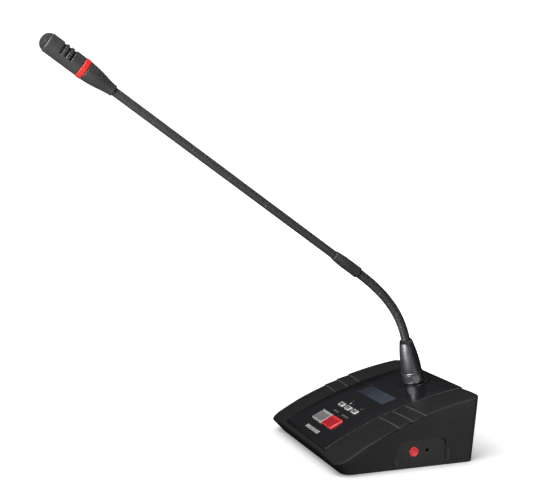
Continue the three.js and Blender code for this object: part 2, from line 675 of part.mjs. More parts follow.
// ---------- head ----------
// A wedge of a ring that cuts one slot across the top of the head tube.
function slotCut(middle) {
  const reach = THREE.MathUtils.degToRad(SLOT.reach);
  const up = Math.PI / 2;
  const shape = new THREE.Shape();
  shape.absarc(0, 0, HEAD.radius + SLOT.out, up - reach, up + reach);
  shape.absarc(0, 0, HEAD.radius - SLOT.in, up + reach, up - reach, true);
  const options = { depth: SLOT.wide, bevelEnabled: false, curveSegments: 12 };
  return new THREE.ExtrudeGeometry(shape, options).translate(0, 0, middle - SLOT.wide / 2);
}

function coneProfile() {
  const { cone, radius } = HEAD;
  const bore = UPPER.radius + GAP;
  const [tail] = CONE_LINE[0];
  const { thick, room, step, seat, chamfer } = CONE_WALL;
  return [
    [bore, 0],
    [tail - chamfer, 0],
    ...CONE_LINE,
    [radius, cone],
    [radius - thick, cone],
    [bore + room, step],
    [bore, seat],
    [bore, 0],
  ];
}

function lightBoard() {
  const { radius, bore, thick } = LIGHT_BOARD;
  const low = HEAD.cone + LIGHT_BOARD.low;
  const { count, half } = LED;
  const lamps = around(count, LED.radius, (x, y) =>
    block([x - half, y - half, low + LED.low], [x + half, y + half, low + LED.high]),
  );
  return join(tube(radius, bore, low, low + thick, 20), ...lamps);
}

function windscreenProfile() {
  const foot = HEAD.front + DOME.foot;
  const shoulder = HEAD.front + DOME.shoulder;
  const profile = [[0, foot], [DOME.radius, foot], [DOME.radius, shoulder]];
  for (let i = 1; i < DOME.steps; i++) {
    const angle = (i / DOME.steps) * (Math.PI / 2);
    profile.push([DOME.radius * Math.cos(angle), shoulder + (HEAD.tip - shoulder) * Math.sin(angle)]);
  }
  return [...profile, [0, HEAD.tip]];
}

function buildHead() {
  const head = placedGroup(stemFrame, 0, 0, SLEEVE.length + UPPER.length, 0);
  const { cone, ring, front, radius, wall } = HEAD;
  addPiece(head, "tail_cone", turned(coneProfile()), LOOKS.blackMetal);
  const light = tube(radius + LIGHT.proud, LIGHT.inner, cone + GAP, ring - GAP);
  addPiece(head, "light_ring", light, LOOKS.lightRed);
  addPiece(head, "light_board", lightBoard(), LOOKS.board);
  const barrel = cut(tube(radius, radius - wall, ring, front), ...SLOT.rows.map(slotCut));
  addPiece(head, "head_tube", barrel, LOOKS.blackMetal);
  const { holder, holderRear, holderFront } = CAPSULE;
  const holderTube = tube(holder, CAPSULE.radius + GAP, front + holderRear, front + holderFront, 20);
  addPiece(head, "capsule_holder", holderTube, LOOKS.rubber);
  const capsule = rod(CAPSULE.radius, front + CAPSULE.rear, front + CAPSULE.front);
  addPiece(head, "capsule", capsule, LOOKS.capsule);
  addPiece(head, "windscreen", turned(windscreenProfile()), LOOKS.foam);
}

// ---------- assembly ----------
addPiece(microphone, "housing", housingShell(), LOOKS.satinBlack);
addPiece(microphone, "control_panel", controlPanel(), LOOKS.glossBlack);
buildFoot();
buildInside();
buildDisplay();
buildKeys();
buildSideButton();
buildSocket();
buildConnector();
buildLowerNeck();
buildSleeve();
buildUpperNeck();
buildHead();

export default microphone;
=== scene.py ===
import json
import math

import bmesh
import bpy
from mathutils import Matrix, Vector

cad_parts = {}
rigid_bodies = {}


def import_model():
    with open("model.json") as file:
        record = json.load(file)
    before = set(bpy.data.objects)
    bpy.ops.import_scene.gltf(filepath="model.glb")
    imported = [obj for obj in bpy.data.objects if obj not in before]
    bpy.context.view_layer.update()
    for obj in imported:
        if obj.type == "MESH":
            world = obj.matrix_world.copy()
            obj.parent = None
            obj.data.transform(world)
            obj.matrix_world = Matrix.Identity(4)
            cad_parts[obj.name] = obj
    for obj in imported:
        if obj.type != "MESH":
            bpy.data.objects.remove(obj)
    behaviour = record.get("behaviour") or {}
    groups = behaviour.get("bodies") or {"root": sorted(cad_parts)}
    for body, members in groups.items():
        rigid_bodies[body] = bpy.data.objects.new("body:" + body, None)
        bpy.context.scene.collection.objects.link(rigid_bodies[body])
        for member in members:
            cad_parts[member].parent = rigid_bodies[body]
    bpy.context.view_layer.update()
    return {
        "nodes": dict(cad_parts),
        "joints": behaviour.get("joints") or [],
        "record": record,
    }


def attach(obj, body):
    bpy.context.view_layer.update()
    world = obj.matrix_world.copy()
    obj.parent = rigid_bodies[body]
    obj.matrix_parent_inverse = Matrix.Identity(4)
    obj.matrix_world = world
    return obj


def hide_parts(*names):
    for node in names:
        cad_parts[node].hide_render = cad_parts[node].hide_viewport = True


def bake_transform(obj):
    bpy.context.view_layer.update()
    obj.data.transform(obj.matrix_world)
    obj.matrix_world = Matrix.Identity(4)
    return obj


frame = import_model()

MM = 0.001

# ---------------------------------------------------------------- dimensions, in millimetres
CREST = (385.5, 120.6, -319.85)  # radius, y and z of the arc under the control panel
EDGE = (361.7, 120.3, -296.2)  # the arc along both outer edges
TOP = dict(front=-71, rear=72.6, half_front=86, half_rear=84.1, corner_front=12, corner_rear=8)
FOOT = dict(front=-60.8, rear=70.3, half_front=77.85, half_rear=77.85, corner_front=9, corner_rear=8)
FOOT_Z = 0.2
WALL = 2.5
SCREW_SPOTS = [(x, y) for x in (-66, 66) for y in (-40, 54)]
POST_SPOTS = [(x, y) for x in (-50, 50) for y in (-4, 48)]
PANEL_HALF, PANEL_FRONT, PANEL_REAR, PANEL_THICK, PANEL_PROUD = 49.6, -67.5, 72.6, 1.5, 0.7
WINDOW_Y, WINDOW_WIDE, WINDOW_DEEP = 8.05, 53.2, 16.1
KEY_Y, KEY_WIDE, KEY_DEEP, KEY_PROUD = -43.4, 21.6, 14.3, 1.6
MENU_Y, MENU_WIDE, MENU_DEEP, MENU_PROUD, MENU_PITCH = -22, 9.5, 5.5, 0.9, 14.65
MENU_HOLE = (5.05, 3.05)  # half sizes of the holes for the small keys
WINDOW_HOLE, KEY_HOLE = (25.4, 6.85), (22.05, 7.45)  # and of those under the panel
POCKET = dict(x=78.3, front=-9, rear=39.4, top=26.6, corner=7)
BUTTON_Y, BUTTON_Z, BUTTON_RADIUS = 7.6, 15.3, 4.5
JACK_Y, JACK_Z = 21.3, 15.4
LINK_X, LINK_Z, LINK_FACE = 24, 20, 71.2
SOCKET_Y, SOCKET_Z, SOCKET_LEAN = 47.75, 58.2, 13
LATCH_Y = 13.2
COLLAR_RADIUS, LOBE_RADIUS, LOBE_Y = 14.0, 5.2, 12.3
SOCKET_BORE, THROAT_RADIUS, THROAT_HOLE = 9.7, 10.9, 11.3
BARREL_FOOT, BARREL_TOP, BARREL_WIDE, BARREL_NARROW, BARREL_POWER = 12.3, 43.6, 10, 6.1, 1.95
BUSH_LOW = 41.0  # where the barrel ends and the rubber bush comes out of it
STEM_Y, STEM_Z, STEM_LEAN = -13.6, 168.45, 54.26
BEND_LOW, BEND_HIGH = 27.7, 35.4
LOWER_RADIUS, UPPER_RADIUS = 4.5, 4.0
LOWER_RIB, UPPER_RIB = (1.9, 0.3), (1.55, 0.2)  # pitch and depth of the wound casing
SLEEVE_LENGTH, UPPER_LENGTH = 30, 254.4
HEAD_CONE, HEAD_RING, HEAD_FRONT, HEAD_TIP, HEAD_RADIUS = 29.1, 34.7, 68.6, 74.3, 8.9
SLOT_ROWS, SLOT_WIDE, SLOT_REACH = (45.3, 50.3, 55.2), 2.4, 109
WEAVE = 2.4


# ---------------------------------------------------------------- frames and curves
def place(x, y, z, lean=0.0):
    turn = Matrix.Rotation(math.radians(lean), 4, "X")
    return Matrix.Translation(Vector((x, y, z)) * MM) @ turn


def arc_height(arc, y):
    radius, centre_y, centre_z = arc
    return centre_z + math.sqrt(radius**2 - (y - centre_y) ** 2)


def arc_pitch(arc, y):
    return math.degrees(math.asin((arc[1] - y) / arc[0]))


def seat(y):
    """The frame on the panel's surface at y, with Z square to it."""
    return place(0, y, arc_height(CREST, y), arc_pitch(CREST, y))


SOCKET = place(0, SOCKET_Y, SOCKET_Z, SOCKET_LEAN)
STEM = place(0, STEM_Y, STEM_Z, STEM_LEAN)
HEAD = STEM @ place(0, 0, SLEEVE_LENGTH + UPPER_LENGTH)
TO_X = Matrix(((0, 0, 1, 0), (1, 0, 0, 0), (0, 1, 0, 0), (0, 0, 0, 1)))
TO_Y = Matrix(((1, 0, 0, 0), (0, 0, 1, 0), (0, -1, 0, 0), (0, 0, 0, 1)))
UPRIGHT = Matrix(((1, 0, 0, 0), (0, 0, 1, 0), (0, 1, 0, 0), (0, 0, 0, 1)))


def fillet(points, radius, steps=3, closed=False):
    """A polyline with its corners rounded; a third value in a point is its own radius."""
    count = len(points)
    out = []
    for i, point in enumerate(points):
        here = Vector(point[:2])
        own = point[2] if len(point) > 2 else radius
        if own <= 0 or (not closed and i in (0, count - 1)):
            out.append(tuple(here))
            continue
        before = Vector(points[i - 1][:2]) - here
        after = Vector(points[(i + 1) % count][:2]) - here
        if before.length < 1e-6 or after.length < 1e-6:
            out.append(tuple(here))
            continue
        angle = before.angle(after)
        reach = own / max(math.tan(angle / 2), 0.05)
        reach = min(reach, 0.48 * before.length, 0.48 * after.length)
        start = here + before.normalized() * reach
        end = here + after.normalized() * reach
        for k in range(steps + 1):
            t = k / steps
            bend = start * (1 - t) ** 2 + here * 2 * t * (1 - t) + end * t * t
            out.append(tuple(bend))
    return out


def circle(radius, x=0.0, y=0.0, sides=64):
    step = 2 * math.pi / sides
    return [(x + radius * math.cos(i * step), y + radius * math.sin(i * step)) for i in range(sides)]


def rounded_box(low_x, low_y, high_x, high_y, radius, steps=6):
    corners = [(low_x, low_y), (high_x, low_y), (high_x, high_y), (low_x, high_y)]
    return fillet(corners, radius, steps, closed=True)


# ---------------------------------------------------------------- meshes
def as_object(name, mesh, sharp=35):
    mesh.name = name
    work = bmesh.new()
    work.from_mesh(mesh)
    bmesh.ops.remove_doubles(work, verts=work.verts, dist=2e-6)
    bmesh.ops.recalc_face_normals(work, faces=work.faces)
    work.to_mesh(mesh)
    work.free()
    mesh.shade_smooth()
    mesh.set_sharp_from_angle(angle=math.radians(sharp))
    thing = bpy.data.objects.new(name, mesh)
    bpy.context.scene.collection.objects.link(thing)
    return thing


def raw_mesh(name, points, faces, matrix=None):
    mesh = bpy.data.meshes.new(name)
    mesh.from_pydata([(x * MM, y * MM, z * MM) for x, y, z in points], [], faces)
    if matrix is not None:
        mesh.transform(matrix)
    return mesh


def stacked(name, rings, matrix=None, loop=False, sharp=35):
    """Closed rings of points, joined one to the next. The ends are capped, or joined if loop."""
    count = len(rings[0])
    points = [point for ring in rings for point in ring]
    faces = []
    pairs = len(rings) if loop else len(rings) - 1
    for row in range(pairs):
        low, high = row * count, ((row + 1) % len(rings)) * count
        for i in range(count):
            j = (i + 1) % count
            faces.append((low + i, low + j, high + j, high + i))
    if not loop:
        faces.append(tuple(reversed(range(count))))
        faces.append(tuple((len(rings) - 1) * count + i for i in range(count)))
    return as_object(name, raw_mesh(name, points, faces, matrix), sharp)


def lathe(name, profile, matrix=None, sides=64, loop=False, shape=None, sharp=35):
    """A profile of (radius, z) points turned round Z. shape(angle, radius, z) may change the radius."""
    rings = []
    for radius, z in profile:
        ring = []
        for i in range(sides):
            angle = 2 * math.pi * i / sides
            r = shape(angle, radius, z) if shape else radius
            ring.append((r * math.cos(angle), r * math.sin(angle), z))
        rings.append(ring)
    return stacked(name, rings, matrix, loop, sharp)


def tube_profile(outer, inner, low, high, edge):
    corners = [(inner, low), (outer, low), (outer, high), (inner, high)]
    return fillet(corners, edge, 3, closed=True)


def sheet(name, outlines, low, high, edge, matrix=None, slices=(), bend=None, sharp=35):
    """A flat plate from closed outlines (the inner ones are holes), with rounded edges."""
    curve = bpy.data.curves.new(name, "CURVE")
    curve.dimensions = "2D"
    curve.fill_mode = "BOTH"
    curve.extrude = ((high - low) / 2 - edge) * MM
    curve.bevel_depth = edge * MM
    curve.bevel_resolution = 2
    curve.offset = -edge * MM
    for outline in outlines:
        spline = curve.splines.new("POLY")
        spline.points.add(len(outline) - 1)
        for point, (x, y) in zip(spline.points, outline):
            point.co = (x * MM, y * MM, 0, 1)
        spline.use_cyclic_u = True
    holder = bpy.data.objects.new(name, curve)
    bpy.context.scene.collection.objects.link(holder)
    shown = holder.evaluated_get(bpy.context.evaluated_depsgraph_get())
    mesh = bpy.data.meshes.new_from_object(shown)
    bpy.data.objects.remove(holder)
    mesh.transform(Matrix.Translation((0, 0, (low + high) / 2 * MM)))
    work = bmesh.new()
    work.from_mesh(mesh)
    bmesh.ops.remove_doubles(work, verts=work.verts, dist=2e-6)
    for y in slices:
        everything = work.verts[:] + work.edges[:] + work.faces[:]
        cut = dict(plane_co=(0, y * MM, 0), plane_no=(0, 1, 0), dist=1e-7)
        bmesh.ops.bisect_plane(work, geom=everything, **cut)
    if bend:
        for vertex in work.verts:
            vertex.co = Vector(bend(*(vertex.co / MM))) * MM
    work.to_mesh(mesh)
    work.free()
    if matrix is not None:
        mesh.transform(matrix)
    return as_object(name, mesh, sharp)


def carve(thing, cutters, operation="DIFFERENCE", sharp=35):
    """Cuts the cutters out of thing, or joins them to it, and drops them."""
    for cutter in cutters:
        modifier = thing.modifiers.new("carve", "BOOLEAN")
        modifier.operation = operation
        modifier.solver = "EXACT"
        modifier.object = cutter
    bpy.context.view_layer.update()
    shown = thing.evaluated_get(bpy.context.evaluated_depsgraph_get())
    mesh = bpy.data.meshes.new_from_object(shown)
    name = thing.name
    for old in [thing, *cutters]:
        bpy.data.objects.remove(old)
    return as_object(name, mesh, sharp)


def merge(name, things, sharp=35):
    """One mesh out of several that don't touch."""
    work = bmesh.new()
    for thing in things:
        work.from_mesh(thing.data)
        bpy.data.objects.remove(thing)
    mesh = bpy.data.meshes.new(name)
    work.to_mesh(mesh)
    work.free()
    return as_object(name, mesh, sharp)


# ---------------------------------------------------------------- materials
PAINTED_SIDE_TILT = (0.78, 0.9)  # upward parts of the normal between which a key's rim ends and its top starts; the rim and the sides below take the edge colour as a painted highlight
BROAD_SCALE, SMUDGE_SCALE = 70.0, 190.0
BUMP_HEIGHT = 0.00006
GROOVE_SHADE, HOLE_SHADE = 0.45, 0.15  # how dark a rib's groove and a hole in a weave are
EDGE_TURN = (0.93, 0.992)  # cosine between a face and its rounded edge, from full painted edge colour to none
EDGE_PAINT_SHARE = 0.9  # share of the painted edge colour on the sharpest edge
GLOSS_SPREAD = (0.88, 1.14)  # how uneven the roughness is, around its own value
GLOW_SPREAD = (0.85, 1.15)
NOISE_SPAN = (0.3, 0.7)  # the part of a noise's range that is spread over a look's own range
COAT_ROUGHNESS = 0.06


class Nodes:
    """Shader nodes made and joined in one line each."""

    def __init__(self, tree):
        self.tree = tree
        tree.nodes.clear()

    def add(self, kind, *inputs, **named):
        return self.fill(self.tree.nodes.new(kind), [*enumerate(inputs), *named.items()])

    def fill(self, made, inputs):
        for key, value in inputs:
            if isinstance(value, bpy.types.NodeSocket):
                self.tree.links.new(value, made.inputs[key])
            else:
                made.inputs[key].default_value = value
        return made

    def compute(self, operation, a, b):
        made = self.add("ShaderNodeMath", a, b)
        made.operation = operation
        return made.outputs[0]

    def dot(self, a, b):
        made = self.add("ShaderNodeVectorMath", a, b)
        made.operation = "DOT_PRODUCT"
        return made.outputs["Value"]

    def spread(self, value, start, end, low, high):
        return self.add("ShaderNodeMapRange", value, start, end, low, high).outputs[0]

    def blend(self, factor, a, b):
        made = self.tree.nodes.new("ShaderNodeMix")
        made.data_type = "RGBA"
        return self.fill(made, ((0, factor), (6, a), (7, b))).outputs[2]

    def noise(self, where, scale, detail, roughness, distortion=0.0):
        amounts = dict(Scale=scale, Detail=detail, Roughness=roughness, Distortion=distortion)
        return self.add("ShaderNodeTexNoise", where, **amounts).outputs["Fac"]


def shaded(color, share):
    return tuple(min(channel * share, 1) for channel in color) + (1,)


def surface(
    name,
    color,
    rough,
    metal=0.0,
    coat=0.0,
    mottle=0.12,
    grain=(2200.0, 0.25),
    edge=0.0,
    painted_edge_color=None,
    glow=None,
    brushed=None,
    ribs=None,
    weave=None,
    rim=False,
    specular=0.5,
):
    """A procedural finish: mottled colour, uneven gloss, fine grain, and edges painted in their own colour.

    grain is (scale, strength), ribs (direction, pitch, depth of shade), weave the size of a hole and
    edge the radius of the rounded and painted edges in millimetres, glow (colour, strength). The edge
    colour is a painted highlight where it is lighter than the face and painted shade where it is darker.
    With rim, every face that doesn't look up takes the edge's colour, a painted highlight on a key's sides.
    """
    material = bpy.data.materials.new(name)
    material.use_nodes = True
    nodes = Nodes(material.node_tree)

    def between(source, low, high):
        return nodes.spread(source, *NOISE_SPAN, low, high)

    where = nodes.add("ShaderNodeTexCoord").outputs["Object"]
    fine_where = where
    if brushed:
        fine_where = nodes.add("ShaderNodeMapping", where, Scale=brushed).outputs["Vector"]
    broad = nodes.noise(where, BROAD_SCALE, 3.0, 0.6)
    fine = nodes.noise(fine_where, grain[0], 2.0, 0.55)
    smudge = nodes.noise(where, SMUDGE_SCALE, 4.0, 0.7, 0.6)

    dark, light = shaded(color, 1 - mottle), shaded(color, 1 + mottle)
    shade = nodes.blend(between(broad, 0, 1), dark, light)
    shade = nodes.blend(between(fine, 0, mottle), shade, light)
    height = fine
    if ribs:
        direction, pitch, depth = ribs
        bands = nodes.add("ShaderNodeTexWave", where, Scale=math.pi / 10 / (pitch * MM))
        bands.bands_direction = direction
        groove = nodes.spread(bands.outputs["Fac"], 0.1, 0.5, depth, 0)
        shade = nodes.blend(groove, shade, shaded(color, GROOVE_SHADE))
        height = nodes.compute("ADD", nodes.compute("MULTIPLY", fine, 0.2), bands.outputs["Fac"])
    if weave:
        dots = nodes.add("ShaderNodeTexVoronoi", where, Scale=1 / (weave * MM), Randomness=0.25)
        hole = nodes.spread(dots.outputs["Distance"], 0.24, 0.42, 1, 0)
        shade = nodes.blend(hole, shade, shaded(color, HOLE_SHADE))
        height = nodes.compute("SUBTRACT", nodes.compute("MULTIPLY", fine, 0.3), hole)
    bump = nodes.add("ShaderNodeBump", Strength=grain[1], Distance=BUMP_HEIGHT, Height=height)
    if edge:
        soft = nodes.add("ShaderNodeBevel", Radius=edge * MM).outputs["Normal"]
        nodes.fill(bump, [("Normal", soft)])
        true = nodes.add("ShaderNodeNewGeometry").outputs["Normal"]
        # Mask of the rounded edges, where the edge colour is painted on: a painted highlight, or painted
        # shade where that colour is darker than the face.
        painted_light = nodes.spread(nodes.dot(soft, true), *EDGE_TURN, EDGE_PAINT_SHARE, 0)
        painted_light = nodes.compute("MULTIPLY", painted_light, between(smudge, 0.6, 1.0))
        # With rim, the faces of a key that don't look up take the edge colour too: a painted highlight on
        # its sides.
        if rim:
            upward = nodes.add("ShaderNodeSeparateXYZ", true).outputs["Z"]
            painted_light = nodes.compute("MAXIMUM", painted_light, nodes.spread(upward, *PAINTED_SIDE_TILT, 1, 0))
        bright = painted_edge_color or tuple(0.8 * channel + 0.05 for channel in color)
        shade = nodes.blend(painted_light, shade, shaded(bright, 1))
    gloss = between(smudge, rough * GLOSS_SPREAD[0], min(rough * GLOSS_SPREAD[1], 1))
    inputs = {
        "Base Color": shade,
        "Roughness": gloss,
        "Metallic": metal,
        "Specular IOR Level": specular,
        "Coat Weight": coat,
        "Coat Roughness": COAT_ROUGHNESS,
        "Normal": bump.outputs["Normal"],
    }
    if glow:
        glow_color, strength = glow
        inputs["Emission Color"] = shaded(glow_color, 1)
        inputs["Emission Strength"] = between(broad, *(strength * share for share in GLOW_SPREAD))
    shader = nodes.add("ShaderNodeBsdfPrincipled", **inputs)
    nodes.add("ShaderNodeOutputMaterial", shader.outputs["BSDF"])
    return material


# The edge colour of a look is painted on its rounded edges: a painted highlight, except on window_plastic,
# where it is darker and painted shade. Looks with rim paint a key's sides in it too, as a highlight.
LOOKS = {
    "satin_black_plastic": dict(
        color=(0.0175, 0.0171, 0.0176),
        rough=0.48,
        mottle=0.07,
        grain=(1900, 0.2),
        edge=0.4,
        painted_edge_color=(0.13, 0.13, 0.135),
        specular=0.18,
    ),
    # The faces of the housing's step risers: a painted highlight, lighter than the satin black.
    "satin_black_painted_highlight": dict(color=(0.12, 0.12, 0.125), rough=0.4, grain=(1900, 0.2)),
    "gloss_black_plastic": dict(
        color=(0.0085, 0.0082, 0.0105),
        rough=0.15,
        mottle=0.06,
        grain=(900, 0.03),
        edge=0.4,
        painted_edge_color=(0.05, 0.05, 0.055),
        specular=0.3,
    ),
    "gloss_black_ring": dict(
        color=(0.007, 0.007, 0.008),
        rough=0.18,
        mottle=0.06,
        grain=(900, 0.03),
        edge=0.3,
        painted_edge_color=(0.02, 0.02, 0.022),
        specular=0.4,
    ),
    "window_plastic": dict(
        color=(0.035, 0.045, 0.064),
        rough=0.2,
        mottle=0.05,
        grain=(3200, 0.04),
        edge=0.6,
        painted_edge_color=(0.028, 0.032, 0.042),
    ),
    "circuit_board": dict(color=(0.02, 0.10, 0.04), rough=0.35, mottle=0.2, grain=(900, 0.3), edge=0.2),
    "black_plastic": dict(color=(0.012, 0.012, 0.013), rough=0.42, grain=(1700, 0.2), edge=0.2),
    "grey_key_plastic": dict(
        color=(0.11, 0.106, 0.108),
        rough=0.46,
        mottle=0.06,
        grain=(1500, 0.25),
        edge=0.5,
        painted_edge_color=(0.42, 0.42, 0.42),
        ribs=("X", 1.9, 0.35),
        rim=True,
    ),
    "red_key_plastic": dict(
        color=(0.26, 0.004, 0.009),
        rough=0.42,
        mottle=0.06,
        grain=(1500, 0.2),
        edge=0.45,
        painted_edge_color=(0.6, 0.04, 0.04),
        ribs=("X", 1.9, 0.25),
        rim=True,
    ),
    "red_button_plastic": dict(
        color=(0.5, 0.022, 0.022),
        rough=0.4,
        mottle=0.05,
        grain=(1500, 0.15),
        edge=0.35,
        painted_edge_color=(0.75, 0.06, 0.055),
    ),
    "silver_key_plastic": dict(
        color=(0.17, 0.17, 0.175),
        rough=0.4,
        mottle=0.06,
        grain=(1500, 0.2),
        edge=0.4,
        painted_edge_color=(0.46, 0.46, 0.46),
        rim=True,
    ),
    "steel": dict(
        color=(0.42, 0.43, 0.45),
        rough=0.36,
        metal=1,
        mottle=0.1,
        grain=(700, 0.2),
        brushed=(1, 12, 1),
        edge=0.2,
    ),
    "rubber_black": dict(color=(0.014, 0.014, 0.014), rough=0.8, mottle=0.2, grain=(1300, 0.6), edge=0.2),
    "gunmetal": dict(
        color=(0.20, 0.205, 0.215),
        rough=0.34,
        metal=0.95,
        mottle=0.06,
        grain=(2600, 0.12),
        edge=0.2,
        painted_edge_color=(0.45, 0.46, 0.48),
    ),
    "black_metal": dict(
        color=(0.055, 0.054, 0.053),
        rough=0.42,
        metal=0.4,
        mottle=0.05,
        grain=(2600, 0.07),
        edge=0.25,
        painted_edge_color=(0.34, 0.34, 0.34),
    ),
    "black_lacquer": dict(
        color=(0.052, 0.051, 0.051),
        rough=0.4,
        metal=0.45,
        mottle=0.09,
        grain=(2400, 0.12),
        brushed=(1, 0.12, 0.16),
        edge=0.3,
        painted_edge_color=(0.4, 0.4, 0.4),
    ),
    "contact_brass": dict(color=(0.60, 0.42, 0.14), rough=0.25, metal=1, grain=(1500, 0.1), edge=0.15),
    "foam_grey": dict(
        color=(0.013, 0.013, 0.013),
        rough=0.7,
        specular=0.25,
        mottle=0.2,
        grain=(1900, 0.6),
        weave=2.0,
    ),
    "light_red": dict(
        color=(0.5, 0.018, 0.016),
        rough=0.4,
        coat=0.1,
        mottle=0.05,
        grain=(1200, 0.05),
        glow=((1, 0.05, 0.03), 0.09),
        edge=0.35,
        painted_edge_color=(0.9, 0.12, 0.08),
    ),
    "capsule_metal": dict(color=(0.48, 0.49, 0.50), rough=0.3, metal=1, grain=(1100, 0.15), edge=0.2),
    "print_light": dict(color=(0.52, 0.52, 0.52), rough=0.5, mottle=0.1, grain=(1500, 0.1)),
    "print_dim": dict(color=(0.13, 0.13, 0.135), rough=0.5, mottle=0.1, grain=(1500, 0.1)),
    "print_dark": dict(color=(0.03, 0.03, 0.032), rough=0.5, mottle=0.1, grain=(1500, 0.1)),
}
FINISHES = {name: surface(name, **look) for name, look in LOOKS.items()}


def finish_as(thing, finish, body=None, nodes=()):
    """Gives a piece its finish and its body, and hides the CAD nodes it stands for.

    Without a finish it keeps the materials its mesh already has.
    """
    if finish:
        thing.data.materials.clear()
        thing.data.materials.append(FINISHES[finish])
    if nodes:
        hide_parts(*nodes)
    if body:
        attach(thing, body)
    return thing


# ---------------------------------------------------------------- housing
CORNER_ROWS = 7
SIDE_DROP = 1.3  # fillet between the top and the walls
STEP_LINES = (-13.0, 0.0, 13.0)
STEP_RISE = 0.8
STEP_SLANT = 2.4
STEP_EDGE = 0.12  # how far apart the two lines of a step are
STEP_START, STEP_FADE = -45.0, 40  # where the first shingle starts, and how long the last one is
STEP_GROWTH = (0.55, 0.6)  # share of the rise beside the panel, and what the edge adds
STEP_ABOVE = 0.3  # share of the rise that stands above the strip's own surface
STRIP_BULGE = 0.55
SLANT_SPAN = 0.42  # reach of the steps' slant either side of the middle row
ROW_PITCH = 4.0
ROW_CLEAR, ROW_NEAR = 1.2, 0.6  # rows keep clear of a step, which has its own rows near it
TURN_STEPS, WALL_STEPS = 5, 4


def outline_row(outline, inset, t):
    """y and half width of an outline at t: 0..1 front corner, 1..2 sides, 2..3 rear corner."""
    front, rear = outline["front"] + inset, outline["rear"] - inset
    rf, rr = outline["corner_front"] - inset, outline["corner_rear"] - inset
    if t < 1:
        angle = t * math.pi / 2
        y, rounding = front + rf * (1 - math.cos(angle)), rf * (1 - math.sin(angle))
    elif t > 2:
        angle = (3 - t) * math.pi / 2
        y, rounding = rear - rr * (1 - math.cos(angle)), rr * (1 - math.sin(angle))
    else:
        y, rounding = (front + rf) + (t - 1) * ((rear - rr) - (front + rf)), 0.0
    along = (y - outline["front"]) / (outline["rear"] - outline["front"])
    half = outline["half_front"] + along * (outline["half_rear"] - outline["half_front"])
    return y, half - inset - rounding


def side_parameter(y):
    low = outline_row(TOP, 0, 1)[0]
    high = outline_row(TOP, 0, 2)[0]
    return 1 + (y - low) / (high - low)


def fraction(x):
    return max(abs(x) - PANEL_HALF, 0) / (TOP["half_front"] - PANEL_HALF)


def step_height(row_y, across):
    """The strips lie like three shingles: each one starts a little above the end of the last."""
    starts = (STEP_START, *STEP_LINES)
    rise = STEP_RISE * (STEP_GROWTH[0] + STEP_GROWTH[1] * across)
    for start, end in zip(starts, STEP_LINES):
        if start < row_y <= end:
            share = (row_y - start) / (end - start)
            return rise * STEP_ABOVE - rise * share
    if row_y <= 0:
        return 0.0
    return rise * STEP_ABOVE * max(0.0, 1 - max(row_y - STEP_LINES[-1], 0) / STEP_FADE)


def strip_height(x, y, row_y):
    inner = arc_height(CREST, y) - PANEL_PROUD
    across = min(fraction(x), 1)
    bulge = STRIP_BULGE * math.sin(math.pi * across)
    return inner + across * (arc_height(EDGE, y) - inner) + bulge + step_height(row_y, across)


def housing_rows():
    rows = [i / CORNER_ROWS for i in range(CORNER_ROWS)]
    first, last = outline_row(TOP, 0, 1)[0], outline_row(TOP, 0, 2)[0]
    spread = [first + i * ROW_PITCH for i in range(int((last - first) / ROW_PITCH) + 1)]
    lines = [y for y in spread if y < last - 1 and all(abs(y - line) > ROW_CLEAR for line in STEP_LINES)]
    for line in STEP_LINES:
        lines += [line - ROW_NEAR, line - STEP_EDGE, line + STEP_EDGE, line + ROW_NEAR]
    rows += [side_parameter(y) for y in sorted(lines)]
    rows += [2 + i / CORNER_ROWS for i in range(CORNER_ROWS + 1)]
    return sorted(set(rows))


